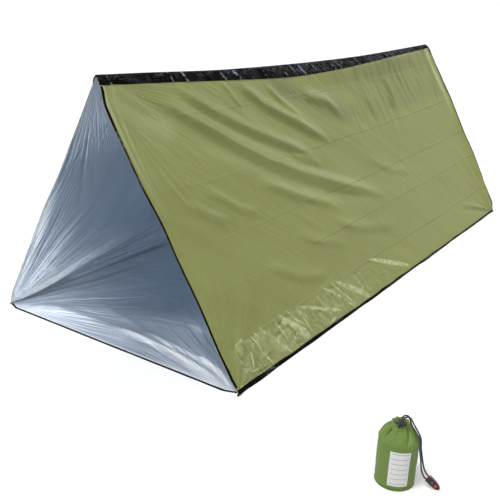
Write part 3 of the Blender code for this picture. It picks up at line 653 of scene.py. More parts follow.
def pulled_film_group():
    """Pulled film: long fine ridges along the second axis of a vector.

    Height and Lines are 1 on the middle value of a coarser and a finer noise, and fall off on both sides of it.
    Mottle is a broad noise.
    """
    group, enter, leave = shader_group("pulled_film", {}, ("Height", "Lines", "Mottle"))
    vector = enter[0]
    for place, scale, detail, roughness, width in ((0, 1.0, 3.0, 0.55, 0.22), (1, 2.1, 2.0, 0.5, 0.035)):
        cloud = noise(group, vector, scale, detail, roughness).outputs[0]
        off = size_of(group, less(group, cloud, 0.5))
        group.links.new(spread(group, off, 0.0, width, 1.0, 0.0), leave[place])
    group.links.new(noise(group, vector, 0.35, 3.0).outputs[0], leave[2])
    return group


def weave_group():
    """Plain weave: two sets of threads that pass over and under each other, as a height and a thread tone."""
    group, enter, leave = shader_group("plain_weave", {"Threads": 2200.0}, ("Height", "Tone"))
    parts = node(group, "SeparateXYZ", None, Vector=enter[0])
    waves = []
    for axis in (0, 1):
        turn = times(group, parts.outputs[axis], enter[1])
        waves.append(maths(group, "SINE", times(group, turn, math.pi)))
    over = times(group, waves[0], waves[1])
    threads = most(group, size_of(group, waves[0]), size_of(group, waves[1]))
    height = plus(group, threads, times(group, over, 0.35))
    slubs = node(group, "Mapping", None, Vector=enter[0], Scale=(40.0, 900.0, 1.0))
    tone = noise(group, slubs.outputs[0], 1.0, 2.0, dimensions="3D")
    group.links.new(height, leave[0])
    group.links.new(tone.outputs[0], leave[1])
    return group


def handling_group():
    """Handling wear: fine scuffs and a faint dust, as a share from 0 to 1."""
    group, enter, leave = shader_group("handling_wear", {"Size": 600.0}, ("Scuff", "Grain"))
    vector, size = enter[0], enter[1]
    cloud = noise(group, vector, size, 4.0, 0.65, "3D")
    grain = noise(group, vector, times(group, size, 7.0), 2.0, dimensions="3D")
    group.links.new(spread(group, cloud.outputs[0], 0.52, 0.72), leave[0])
    group.links.new(grain.outputs[0], leave[1])
    return group


def blank_material(name, roughness, metallic=0.0):
    """A material, its node tree and its shader."""
    made = bpy.data.materials.new(name)
    made.use_nodes = True
    shader = made.node_tree.nodes["Principled BSDF"]
    shader.inputs["Roughness"].default_value = roughness
    shader.inputs["Metallic"].default_value = metallic
    return made, made.node_tree, shader


def placed_group(tree, name, **inputs):
    """One of the shared groups, with its own values."""
    return node(tree, "Group", {"node_tree": bpy.data.node_groups[name]}, **inputs)


def surface_vector(tree):
    """The piece's own UV map, in metres along and up the surface."""
    return node(tree, "UVMap", {"uv_map": "surface"}).outputs[0]


def bumped(tree, shader, height, distance):
    """Gives a shader a height, times a distance in metres."""
    bump = node(tree, "Bump", None, Height=height, Distance=distance, Strength=1.0)
    tree.links.new(bump.outputs[0], shader.inputs["Normal"])


def mask_value(tree, name):
    """The value of one of the piece's own masks."""
    return node(tree, "Attribute", {"attribute_name": name}).outputs["Fac"]


def tinted(base, factor):
    """A colour times a factor, kept at 1 or below."""
    return (*[min(1.0, c * factor) for c in base], 1.0)


def film_material(name, base, light, look):
    """Metallised film.

    Its height adds up the facets, taller where the film is glossy, the streaks along one way and those out of
    the corners. Its colour is mottled, darker along the creases, and paler on glossy facets and their edges,
    along the finest streaks and where the film is paled, in torn patches where it glints. Paled film is less
    metallic, and glossy film is smoother, with a coat on some facets.
    """
    made, tree, shader = blank_material(name, look["roughness"], look["metallic"])
    vector = surface_vector(tree)
    gloss, pull, streak, pale = (mask_value(tree, mask) for mask in ("gloss", "pull", "streak", "paled"))
    # Painted glints: the glint mask torn into ragged patches of varied strength
    ragged = times(tree, noise(tree, vector, 95.0, 3.0, 0.6).outputs[0], 0.6)
    torn = spread(tree, plus(tree, mask_value(tree, "glint"), ragged), 0.7, 0.92)
    thick = spread(tree, noise(tree, vector, 42.0, 4.0, 0.7).outputs[0], 0.36, 0.62, 0.2, 0.84)
    paled = most(tree, pale, times(tree, torn, thick))

    facets = laid(tree, vector, look["facets"], look["facet_slant"])
    crumple, small = (
        placed_group(tree, "crumpled_film", Vector=facets, Size=size, Tilt=look["facets"][1])
        for size in (1.0, 2.3)
    )
    streaks = placed_group(tree, "pulled_film", Vector=laid(tree, vector, look["streaks"], look["slant"]))
    polar = node(tree, "UVMap", {"uv_map": "polar"}).outputs[0]
    polar = node(tree, "Mapping", None, Vector=polar, Scale=(look["rays"], 0.45, 1.0)).outputs[0]
    rays = placed_group(tree, "pulled_film", Vector=polar)
    tilt = plus(tree, look["tilt"], times(tree, gloss, look["gloss_tilt"]))
    height = times(tree, plus(tree, crumple.outputs["Height"], small.outputs["Height"]), tilt)
    streaked = times(tree, streak, look["streak_height"])
    height = plus(tree, height, times(tree, streaks.outputs["Height"], streaked))
    pulled = times(tree, times(tree, rays.outputs["Height"], pull), look["ray_height"])
    bumped(tree, shader, plus(tree, height, pulled), 1.0)

    far = spread(tree, node(tree, "SeparateXYZ", None, Vector=vector).outputs[0], 0.2, 2.3)
    tone = plus(tree, times(tree, streaks.outputs["Mottle"], 0.7), times(tree, far, 0.4))
    low, high = tinted(base, 1 - look["mottle"]), tinted(base, 1 + look["mottle"])
    body = mixed(tree, spread(tree, tone, 0.2, 0.7), low, high)
    # Painted shade from the crease mask, and painted highlights on bright facets and facet edges, which also
    # stand for whitened creases
    dark = times(tree, mask_value(tree, "crease"), look["crease"])
    bright = times(tree, spread(tree, crumple.outputs["Facet"], 0.62, 0.8), look["facet_whitening_and_highlight"])
    edges = times(tree, most(tree, crumple.outputs["Lines"], small.outputs["Lines"]), look["facet_lines"])
    # Painted highlights along the finest streaks, and painted light along the rays out of the corners
    lines = times(tree, times(tree, streaks.outputs["Lines"], streak), look["streak_lines"])
    rayed = times(tree, times(tree, rays.outputs["Lines"], plus(tree, pull, pale)), look["ray_lines"])
    wear_and_painted_highlight = most(tree, times(tree, most(tree, edges, bright), gloss), lines)
    wear_and_painted_highlight = most(tree, maths(tree, "MAXIMUM", wear_and_painted_highlight, rayed, True), paled)
    # The light colour carries whitened creases, painted light and painted highlights; the half tone carries
    # painted shade
    shade = mixed(tree, wear_and_painted_highlight, mixed(tree, dark, body, tinted(base, 0.5)), (*light, 1.0))
    bare = less(tree, 1.0, times(tree, paled, 0.7))
    dull = plus(tree, look["roughness"] - 0.04, times(tree, streaks.outputs["Mottle"], 0.08))
    coat = spread(tree, small.outputs["Facet"], 0.35, 0.65, 0.0, look["gloss_coat"])
    for value, socket in (
        (shade, "Base Color"),
        (times(tree, bare, look["metallic"]), "Metallic"),
        (less(tree, dull, times(tree, gloss, look["roughness"] * 0.45)), "Roughness"),
        (times(tree, gloss, coat), "Coat Weight"),
    ):
        tree.links.new(value, shader.inputs[socket])
    shader.inputs["Coat Roughness"].default_value = look["coat_roughness"]
    shader.inputs["Specular IOR Level"].default_value = look["specular"]
    return made


# The writing panel on the sack's front: its middle and half its size, round and up the sack, how far its edge
# fades, the spacing of its ruled lines, and half a line's length
PANEL_MIDDLE, PANEL_HALF, PANEL_FADE = (0.009, 0.06), (0.025, 0.047), 0.0004
RULE_SPACING, RULE_HALF = 0.0135, 0.0207


def panel_share(tree, vector):
    """1 on the writing panel, 0 on its ruled lines and round it."""
    parts = node(tree, "SeparateXYZ", None, Vector=vector)
    side, level = (size_of(tree, less(tree, parts.outputs[i], PANEL_MIDDLE[i])) for i in (0, 1))
    inside = times(tree, *(
        spread(tree, off, half - PANEL_FADE, half, 1, 0) for off, half in zip((side, level), PANEL_HALF)
    ))
    row = maths(tree, "FRACT", maths(tree, "DIVIDE", parts.outputs[1], RULE_SPACING))
    rules = times(
        tree, spread(tree, size_of(tree, less(tree, row, 0.5)), 0.03, 0.045, 1, 0),
        spread(tree, side, RULE_HALF - PANEL_FADE / 2, RULE_HALF, 1, 0))
    return maths(tree, "SUBTRACT", inside, times(tree, rules, inside), True)


def cloth_material(name, base, panel=None):
    """Woven nylon: slubs, scuffs and gathers tone it, with a ruled panel where the panel colour is given."""
    made, tree, shader = blank_material(name, 0.62)
    vector = surface_vector(tree)
    weave = placed_group(tree, "plain_weave", Vector=vector, Threads=2400.0)
    wear = placed_group(tree, "handling_wear", Vector=vector, Size=45.0)
    cloth = mixed(tree, weave.outputs["Tone"], tinted(base, 0.93), tinted(base, 1.07))
    cloth = mixed(tree, times(tree, wear.outputs["Scuff"], 0.25), cloth, tinted(base, 1.25))
    # Painted shade from the crease mask, then painted highlights from the paled mask
    cloth = mixed(tree, mask_value(tree, "crease"), cloth, tinted(base, 0.25))
    cloth = mixed(tree, mask_value(tree, "paled"), cloth, tinted(base, 2.1))
    if panel:
        wear_and_painted_highlight = times(tree, panel_share(tree, vector), spread(tree, wear.outputs["Scuff"], 0, 1, 1.0, 0.88))
        cloth = mixed(tree, wear_and_painted_highlight, cloth, (*panel, 1.0))
    tree.links.new(cloth, shader.inputs["Base Color"])
    shader.inputs["Sheen Weight"].default_value = 0.05
    shader.inputs["Sheen Roughness"].default_value = 0.45
    bumped(tree, shader, weave.outputs["Height"], 0.00012)
    return made


def cord_material(name, base):
    """Braided cord: fibres toned and raised by a fine grain. The braid itself is in the mesh."""
    made, tree, shader = blank_material(name, 0.75)
    wear = placed_group(tree, "handling_wear", Vector=surface_vector(tree), Size=400.0)
    fibres = mixed(tree, wear.outputs["Grain"], tinted(base, 0.7), tinted(base, 2.2))
    tree.links.new(fibres, shader.inputs["Base Color"])
    shader.inputs["Sheen Weight"].default_value = 0.3
    bumped(tree, shader, wear.outputs["Grain"], 0.00008)
    return made


def plastic_material(name, base, roughness, coat=0.0):
    """Moulded plastic: a fine texture, and faint scuffs that lighten and dull it."""
    made, tree, shader = blank_material(name, roughness)
    place = node(tree, "TexCoord").outputs["Object"]
    wear = placed_group(tree, "handling_wear", Vector=place, Size=500.0)
    scuffed = mixed(tree, times(tree, wear.outputs["Scuff"], 0.35), (*base, 1.0), tinted(base, 1.7))
    tree.links.new(scuffed, shader.inputs["Base Color"])
    rough = plus(tree, roughness, times(tree, wear.outputs["Scuff"], 0.15))
    tree.links.new(rough, shader.inputs["Roughness"])
    shader.inputs["Coat Weight"].default_value = coat
    bumped(tree, shader, wear.outputs["Grain"], 0.00003)
    return made


def steel_material(name, base):
    """Drawn steel with a fine brushed tone."""
    made, tree, shader = blank_material(name, 0.3, 1.0)
    place = node(tree, "TexCoord").outputs["Object"]
    wear = placed_group(tree, "handling_wear", Vector=place, Size=900.0)
    brushed = mixed(tree, wear.outputs["Grain"], tinted(base, 0.8), tinted(base, 1.15))
    tree.links.new(brushed, shader.inputs["Base Color"])
    tree.links.new(spread(tree, wear.outputs["Grain"], 0, 1, 0.2, 0.42), shader.inputs["Roughness"])
    return made


# How each film is finished. Facets and streaks give the length and the width of one in metres, and a slant is
# their turn from the tent's length. Tilts are slopes. Rays are counted for each radian. The crease share sets
# how dark the painted shade is. The facets' whitening and highlight share, facet lines, streak lines and ray
# lines set how far whitened creases and painted highlights pale the film.
OLIVE_LOOK = {
    "roughness": 0.42, "metallic": 0.06, "facets": (0.075, 0.02), "facet_slant": math.radians(-68),
    "tilt": 0.03, "gloss_tilt": 0.3, "facet_whitening_and_highlight": 0.22, "facet_lines": 0.55,
    "streaks": (0.3, 0.026), "slant": math.radians(-38), "streak_height": 0.0008, "streak_lines": 0.08,
    "rays": 20.0, "ray_height": 0.002, "ray_lines": 0.3, "mottle": 0.07, "crease": 0.75,
    "gloss_coat": 0.22, "coat_roughness": 0.16, "specular": 0.12,
}
SILVER_LOOK = {
    "roughness": 0.36, "metallic": 0.7, "facets": (0.045, 0.045), "facet_slant": 0.0,
    "tilt": 0.02, "gloss_tilt": 0.0, "facet_whitening_and_highlight": 0.0, "facet_lines": 0.0,
    "streaks": (0.3, 0.016), "slant": math.radians(84), "streak_height": 0.0014, "streak_lines": 0.3,
    "rays": 18.0, "ray_height": 0.0055, "ray_lines": 0.85, "mottle": 0.08, "crease": 0.6,
    "gloss_coat": 0.0, "coat_roughness": 0.1, "specular": 0.5,
}
BLACK_LOOK = {
    "roughness": 0.35, "metallic": 0.0, "facets": (0.05, 0.05), "facet_slant": 0.0,
    "tilt": 0.3, "gloss_tilt": 0.5, "facet_whitening_and_highlight": 0.0, "facet_lines": 0.6,
    "streaks": (0.14, 0.034), "slant": math.radians(50), "streak_height": 0.004, "streak_lines": 0.1,
    "rays": 1.0, "ray_height": 0.0, "ray_lines": 0.0, "mottle": 0.2, "crease": 0.0,
    "gloss_coat": 0.1, "coat_roughness": 0.1, "specular": 0.02,
}
PACKED_LOOK = {**OLIVE_LOOK, "facets": (0.0055, 0.0055), "tilt": 0.9}


def material(name):
    """One of the finishes, made the first time that it is asked for."""
    name = name + "_finish"
    made = bpy.data.materials.get(name)
    if made is not None:
        return made
    for group in (crumpled_film_group, pulled_film_group, weave_group, handling_group):
        if bpy.data.node_groups.get(group.__doc__.split(":")[0].lower().replace(" ", "_")) is None:
            group()
    tone = bpy.context.scene.tent_finishes
    recipes = {
        "olive_film": lambda: film_material(name, tone.olive, tone.olive_whitened_and_highlit, OLIVE_LOOK),
        "silver_film": lambda: film_material(name, tone.silver, tone.silver_painted_light, SILVER_LOOK),
        "black_film": lambda: film_material(name, tone.black_film, tone.black_painted_glint, BLACK_LOOK),
        "packed_film": lambda: film_material(name, tone.olive, tone.olive_whitened_and_highlit, PACKED_LOOK),
        "sack_cloth": lambda: cloth_material(name, tone.cloth),
        "sack_wall_cloth": lambda: cloth_material(name, tone.cloth, tone.panel),
        "braided_cord": lambda: cord_material(name, tone.cord),
        "lock_plastic": lambda: plastic_material(name, tone.plastic, 0.42),
        "button_plastic": lambda: plastic_material(name, tone.button, 0.38),
        "whistle_plastic": lambda: plastic_material(name, tone.plastic, 0.36),
        "whistle_orange": lambda: plastic_material(name, tone.orange, 0.32, 0.2),
        "spring_steel": lambda: steel_material(name, tone.steel),
    }
    return recipes[name.removesuffix("_finish")]()


# Film


class Slope:
    """One roof slope: its plane, the folds in its film and the grid that its film and tapes share."""

    def __init__(self, side):
        """Side is 1 for the right slope and -1 for the left one."""
        self.side = side
        self.sizes = bpy.context.scene.tent_sizes
        self.folds = bpy.context.scene.tent_folds
        half, high = self.sizes.floor_width / 2, self.sizes.ridge_height
        self.long = math.hypot(half, high)
        self.out_x, self.out_z = high / self.long, half / self.long
        self.outward = np.array((side * self.out_x, 0.0, self.out_z))

    def point(self, up, along, lift=0.0):
        """A point of the slope: up from eave to ridge and along from front to back as shares, lift outwards.

        x = half width (1 - up) and z = sagging ridge times up. y runs out past the floor with up. The back edge
        bows out by a power of a half wave, and the right slope's front edge in steps below the ridge.
        """
        t = self.sizes
        height = t.ridge_height - t.ridge_sag * 4 * along * (1 - along)
        x = t.floor_width / 2 * (1 - up) + self.out_x * lift
        y = (along - 0.5) * (t.tent_length + 2 * t.overhang * up)
        y = y + t.back_bow * np.sin(math.pi * np.clip(up, 0, 1)) ** 0.7 * along**2
        if self.side > 0:
            bow = 0.3 + ease((up - 0.52) / 0.14) - 1.3 * ease((up - 0.9) / 0.08)
            y = y - t.front_bow * bow * ease(up / 0.05) * (1 - ease(along * t.tent_length / 0.35))
        return stacked(self.side * x, y, height * up + self.out_z * lift)

    def crease_share(self, line, along):
        """Place of a packing crease, as a share of the slope."""
        front, back = CREASES[line]
        return front + (back - front) * along

    def relief(self, up, along):
        """How far the film stands out of its plane.

        The hang is two half waves, each packing crease a low roof with a line along it. Drapes, crinkles,
        gathers below the ridge, crumples at the foot and pulls out of the corners are added up. The left slope
        has two broad folds out of its foot corner, and lies flat along its front. Free edges turn outwards.
        """
        size = self.folds
        a, u = np.broadcast_arrays(along * self.sizes.tent_length, up * self.long)
        end = self.sizes.tent_length
        right = self.side > 0
        seed = 10 if right else 60
        hang = np.sin(math.pi * np.clip(up, 0, 1)) * np.sin(math.pi * np.clip(along, 0, 1)) ** 0.5
        total = -size.slack * hang
        for line in range(len(CREASES)):
            off = np.abs(up - self.crease_share(line, along)) * self.long
            way = 1 if line % 2 else -1
            total += way * size.crease_rise * np.clip(1 - off / 0.09, 0, 1)
            total -= way * size.crease_depth * bell(off, 0.004) * ease((a - 0.06) / 0.08)
        for points, width, height in RIGHT_DRAPES if right else LEFT_DRAPES:
            total += size.drape * drape(a, u, points, size.drape_width * width, height, 0.45 * right)
        slant = (math.radians(-62), math.radians(-28))
        upright = (math.radians(78), math.radians(102))
        leaning = (math.radians(-80), math.radians(25))
        total += size.crinkle * scattered(
            a, u, (0.05, end, 0.14, 0.95), 150, (0.08, 0.3), (0.006, 0.018), (0.3, 1.0), slant, seed, 0.5)
        total += size.gather * scattered(
            a, u, (1.35, 2.38, 0.68, 0.93), 60, (0.08, 0.22), (0.008, 0.016), (0.4, 1.0), upright,
            seed + 1, 0.4)
        band = ease((a - 0.04) / 0.06) * (1 - 0.8 * ease((a - 0.7) / 0.5)) * ease((0.128 - up) / 0.01) * right
        total += size.foot_crinkle * band * scattered(
            a, u, (0.03, 1.3, 0.01, 0.125), 140, (0.03, 0.12), (0.006, 0.014), (0.3, 1.0), leaning,
            seed + 2, 0.95)
        total += size.foot_crinkle * 0.15 * right * scattered(
            a, u, (1.2, end, 0.01, 0.12), 50, (0.03, 0.12), (0.008, 0.018), (0.3, 1.0), leaning,
            seed + 3, 0.9)
        turn = math.pi / 2
        fans = [
            (0.0, 0.0, (0.02, 1.45), 16, (0.25, 0.6), 0.3 if right else 0.8),
            (end, 0.0, (math.pi - 0.05, turn + 0.1), 14, (0.2, 0.5), 0.9),
            (0.0, self.long, (-turn + 0.03, -turn + 0.42), 10, (0.3, 0.6), 0.5),
            (end, self.long, (-turn - 0.05, -turn - 0.5), 8, (0.25, 0.5), 0.5),
        ]
        if not right:
            fans.append((0.0, 0.0, (0.0, 0.4), 9, (0.6, 1.2), 1.2))
        for place, (x, y, turns, count, reaches, share) in enumerate(fans, seed + 4):
            corner = np.array((x, y))
            total += fan(a, u, corner, turns, count, reaches, size.corner_pull * share, place)
        if not right:
            total -= crest(a, u, (-0.1, -0.037), (1.15, 0.42), (0.004, 0.075), 0.026, 0.6)
            total += crest(a, u, (-0.1, -0.014), (1.2, 0.17), (0.004, 0.085), 0.022, 0.5)
            total = total * (0.12 + 0.88 * ease(a / 0.1))
            front_flap = (1 - ease(a / 0.03)) * ease(u / 0.06) * (1 - ease((u - 0.45) / 0.2))
            total += 0.01 * front_flap
        total += self.sizes.back_flap * ease((a - end + 0.05) / 0.05) * ease(u / 0.05)
        strip = strip_width(along)
        return total * ease(u / 0.012) * ease((self.long - u) / (strip + 0.004))

    def grid(self):
        """The film's grid: shares up the slope, following the packing creases, shares along it, its points.

        Rows are closer beside the creases and in the tape at the foot, columns in the hems and the front half.
        """
        t = self.sizes
        tape_rows = np.array((0.25, 0.5, 0.75, 1.0, 1.02)) * t.eave_tape / self.long
        beside = np.array((-0.008, -0.0035, 0, 0.0035, 0.008)) / self.long
        rows = [np.linspace(0, 0.13, 34), np.linspace(0.13, 1, 68), tape_rows]
        rows += [front + beside for front, _ in CREASES]
        hem = np.array((0.5, 1.0)) * t.hem_width / t.tent_length
        near, far = 0.8 / t.tent_length, 1.4 / t.tent_length
        columns = [np.linspace(0, near, 200), np.linspace(near, far, 76), np.linspace(far, 1, 84)]
        columns += [1 - np.linspace(0, 0.03, 7)[1:], hem, 1 - hem]
        level = np.unique(np.round(np.concatenate(rows), 5))[:, None]
        along = np.unique(np.round(np.concatenate(columns), 5))[None, :]
        known = np.array([0, 0.03, *(front for front, _ in CREASES), 1])
        drift = np.interp(level, known, [0, 0, *(back - front for front, back in CREASES), 0])
        up = level + drift * along
        foot = t.film / 2 * self.out_z / t.ridge_height + GAP / self.long
        crown = 1 - (t.film / 2 * self.out_x + GAP / 2) / self.out_z / self.long
        up = foot + (crown - foot) * up
        along = along + np.zeros_like(up)
        return up, along, self.point(up, along, self.relief(up, along))

    def surface(self, up, along):
        """Metres along and up the slope."""
        return np.stack([along * self.sizes.tent_length, up * self.long], -1)

    def pulls(self, up, along):
        """Polar coordinates about the nearer front corner, and how strongly the film is pulled out of it."""
        a, u = along * self.sizes.tent_length, up * self.long
        top = u > self.long * 0.56
        rise = np.where(top, self.long - u, u)
        reach = np.hypot(a, rise) + 0.004
        angle = np.arctan2(rise, a)
        limit = np.where(top, 0.42, 0.52 + 0.75 * (1 - ease(angle / 0.55)))
        strength = reach / 0.15 * (1 - ease(reach / limit))
        if self.side > 0:
            strength = strength * np.where(top, 1.0, 0.25)
        return np.stack([angle, np.log(reach)], -1), strength

    def streaked(self, up, along):
        """How strongly the film is streaked: the right slope in its drapes, the left at its front and top."""
        a, u = along * self.sizes.tent_length, up * self.long
        if self.side > 0:
            drapes = ease((u - 0.3 + 0.2 * a) / 0.25) * ease((a - 0.05) / 0.25)
            drapes = drapes * (1 - 0.7 * ease((a - 1.3) / 0.6))
            return 0.08 + 0.92 * drapes * ease((lattice(a * 5, u * 5, 21) + 0.35) / 0.7)
        edge = 1 - ease((a - 0.02) / 0.16)
        return np.clip(0.1 + ease((u - 0.42) / 0.3) + edge, 0, 1)

    def painted_bands(self, a, u, way):
        """The largest of the broad bands that pale the right slope, or that darken it where the way is -1."""
        return max_of(drape(a, u, points, width, max(way * size, 0)) for points, width, size in ROOF_LIGHT_AND_SHADE_BANDS)

    def paled(self, up, along):
        """How far the film is paled.

        The right slope is paled in streaks at its front, a line at its back, a thin line along each packing
        crease and its pale bands. The left one is paled along its front edge, in rays out of its foot corner
        and the haze round them, in one band that rises from there, and a little along its foot.
        """
        a, u = along * self.sizes.tent_length, up * self.long
        if self.side > 0:
            lines = 0.5 + 0.5 * np.sin(math.tau * (a / 0.021 + 2.5 * u + lattice(a * 12, u * 3, 71)))
            front = (1 - ease((a - 0.012) / 0.085)) * ease((u - 0.42) / 0.5) * lines
            back = bell(self.sizes.tent_length - a - 0.035, 0.013) * ease((u - 0.5) / 0.3)
            total = 0.62 * front**1.5 + 0.75 * back
            for line in range(len(CREASES)):
                off = (up - self.crease_share(line, along)) * self.long - 0.0035
                total = np.maximum(total, 0.09 * bell(off, 0.0028) * ease((a - 0.1) / 0.15))
            return np.clip(np.maximum(total, self.painted_bands(a, u, 1)), 0, 0.9)
        edge = bell(a - 0.012 - 0.03 * (u - 0.25) ** 2, 0.0045)
        edge = edge * ease(u / 0.08) * (1 - ease((u - 0.36) / 0.2))
        band = [(-0.1, 0.02), (0.157, 0.05), (0.349, 0.074), (0.519, 0.111), (0.698, 0.144), (1.00, 0.22)]
        reach, turn = np.hypot(a, u), np.arctan2(u, a)
        rays = painted_light_rays(reach, turn, 77, 0.55)
        for out, rise, size in CORNER_RAYS:
            rays = np.maximum(rays, crest(a, u, (0.006, 0.008), (out, rise), (0.004, 0.013), size, 1.0))
        haze = (1 - ease((reach - 0.06) / 0.4)) * (1 - ease((turn - 0.9) / 0.4)) * (0.2 + 0.3 * rays)
        low = 0.12 * (1 - ease((u - 0.15) / 0.2)) * ease((a - 0.15) / 0.2)
        total = np.maximum(0.8 * edge + drape(a, u, band, 0.026, 0.42) + 0.85 * rays, np.maximum(haze, low))
        return np.clip(total * ease(u / 0.012), 0, 1)

    def glints(self, up, along):
        """Where the film is paled in torn patches: creases and a net over the front of the right foot."""
        a, u = along * self.sizes.tent_length, up * self.long
        if self.side < 0:
            return np.zeros_like(a)
        total = max_of(
            crest(a, u, start, end, (width / 2, width), size, 1.0) for start, end, width, size in FOOT_GLINTS)
        net = ease((lattice(a * 45, u * 60, 79) - 0.25) / 0.5)
        net = net * (1 - ease((np.hypot(a - 0.32, u - 0.045) - 0.05) / 0.09))
        return np.clip(np.maximum(total, 0.55 * net) * ease((0.15 - u) / 0.02) * ease(u / 0.01), 0, 1)

    def glossy(self, up, along):
        """How glossy the film is: in patches over the front of the right slope's foot."""
        a, u = along * self.sizes.tent_length, up * self.long
        cloud = ease((lattice(a * 9, u * 14, 75) + 0.25) / 0.5)
        patches = 0.45 + 0.55 * np.maximum(cloud, crest(a, u, (0.05, 0.1), (0.6, 0.0), (0.1, 0.1), 1, 0))
        gloss = ease((0.128 - up) / 0.01) * ease((a - 0.035) / 0.03) * (1 - 0.97 * ease((a - 0.6) / 0.5))
        return gloss * patches * (self.side > 0)

    def darkened(self, up, along):
        """How far the film is darkened.

        Both slopes are darkened along the packing creases. On the right the gathers below the back half of the
        ridge and the dark bands are added, on the left the seam at its foot and a shade that deepens upwards.
        """
        a, u = along * self.sizes.tent_length, up * self.long
        total = np.zeros_like(a)
        front = ease((a - 0.06) / 0.1)
        for line in range(len(CREASES)):
            wander = 0.0025 * lattice(along * 17, up * 0 + line, 73)
            off = np.abs((up - self.crease_share(line, along)) * self.long - wander)
            faint = 0.88 + 0.3 * lattice(along * 9, up * 0 + line, 74)
            faint = faint * (0.35 + 0.65 * ease((a - 0.4) / 0.6))
            total = np.maximum(total, bell(off, 0.0021) * front * faint)
        if self.side > 0:
            lines = np.clip(1 - np.abs(lattice(a * 15 + u * 1.5, u * 2.5, 78)) / 0.28, 0, 1)
            gathers = (0.35 + 0.65 * lines) * ease((a - 1.1) / 0.5) * ease((u - 0.66) / 0.08)
            total = np.maximum(total, self.painted_bands(a, u, -1))
            return np.clip(np.maximum(total, 0.95 * gathers), 0, 1)
        seam = [(-0.3, 0.000), (0.1, 0.000), (0.41, 0.008), (0.69, 0.006), (1.15, 0.004)]
        top = 0.3 * ease((u - 0.1) / 0.2) + 0.25 * ease((u - 0.45) / 0.25)
        top = top + 0.2 * ease((u - 0.1) / 0.1) * (1 - ease(a / 0.3))
        return np.clip(0.4 * total + drape(a, u, seam, 0.022, 0.38) + top, 0, 1)


def max_of(arrays):
    """The largest of several arrays, point by point."""
    return functools.reduce(np.maximum, arrays)


def painted_light_rays(reach, turn, seed, limit):
    """Bright rays out of a corner: noise over the turn, faded out with the reach up to the limit."""
    fine = ease((lattice(turn * 24, np.log(reach + 0.02) * 1.2, seed) - 0.05) / 0.35)
    return fine * (1 - ease((reach - 0.05) / limit))


def strip_width(along):
    """How far the ridge strip reaches down a slope: a bell just before its middle and a taper at the back."""
    return 0.025 + 0.031 * bell(along - 0.47, 0.28) - 0.005 * ease((along - 0.75) / 0.25)


def plain_masks(shape, streak=1.0):
    """The film finish's masks for a piece that has no creases, gloss or pulls of its own."""
    empty = np.zeros(shape)
    return {**dict.fromkeys(("crease", "gloss", "pull", "paled", "glint"), empty), "streak": empty + streak}


def laid_out(side, *arrays):
    """Grids turned over on the left slope, so that their faces point outwards there too."""
    return arrays if side > 0 else tuple(array[::-1] for array in arrays)


def film_slope(side):
    """A roof slope: the film's grid, given its thickness along the slope's own way out."""
    slope = Slope(side)
    hand = "right" if side > 0 else "left"
    up, along, middle = slope.grid()
    polar, pulled = slope.pulls(up, along)
    # The crease mask carries painted shade, the paled mask painted light and the glint mask painted glints
    looks = {
        "crease": slope.darkened, "gloss": slope.glossy, "streak": slope.streaked, "paled": slope.paled,
        "glint": slope.glints,
    }
    masks = {"pull": pulled, **{mask: look(up, along) for mask, look in looks.items()}}
    middle, flat, polar, *values = laid_out(side, middle, slope.surface(up, along), polar, *masks.values())
    maps = {"surface": flat, "polar": polar}
    piece = shell(
        f"roof_slope_{hand}", middle, slope.sizes.film, maps, slope.outward, masks=dict(zip(masks, values)))
    films = [material("olive_film"), material("silver_film")]
    return finish_piece(piece, "tent_film", "olive_film", f"roof_panel_{hand}", materials=films)


def taped(side, name, middle, flat, outward, stands_for):
    """A black tape about a grid of points on a slope."""
    middle, flat = laid_out(side, middle, flat)
    # Glossy patches, where the black film's facet edges and streaks get painted glints
    glint = ease((lattice(flat[..., 0] * 11, flat[..., 1] * 9, 49) - 0.2) / 0.3)
    masks = {**plain_masks(middle.shape[:2]), "gloss": glint * 0.5, "streak": glint * 0.6}
    sizes = bpy.context.scene.tent_sizes
    piece = shell(name, middle, sizes.tape, {"surface": flat, "polar": flat}, outward, masks=masks)
    return finish_piece(piece, "tent_film", "black_film", stands_for, materials=[material("black_film")] * 2)


def slope_hem(side, back):
    """The tape on a slope's free edge: the film's own outermost columns, lifted off it."""
    slope = Slope(side)
    t = slope.sizes
    up, along, middle = slope.grid()
    inner = t.hem_width / t.tent_length * 1.02
    chosen = along[0] >= 1 - inner if back else along[0] <= inner
    top = 1 - (strip_width(1.0 if back else 0.0) + 0.003) / slope.long
    rows = (up[:, 0] * slope.long > t.eave_tape * 1.015) & (up[:, 0] < top + 0.012)
    up, along = (share[np.ix_(rows, chosen)] for share in (up, along))
    up[-1] = top
    up[:-1] = np.minimum(up[:-1], top - 0.0005)
    middle = slope.point(up, along, slope.relief(up, along) + (t.film + t.tape) / 2 + GAP)
    flat = slope.surface(up, along)
    end, hand = "back" if back else "front", "right" if side > 0 else "left"
    return taped(side, f"edge_tape_{end}_{hand}", middle, flat, slope.outward, f"{end}_hem_{hand}")


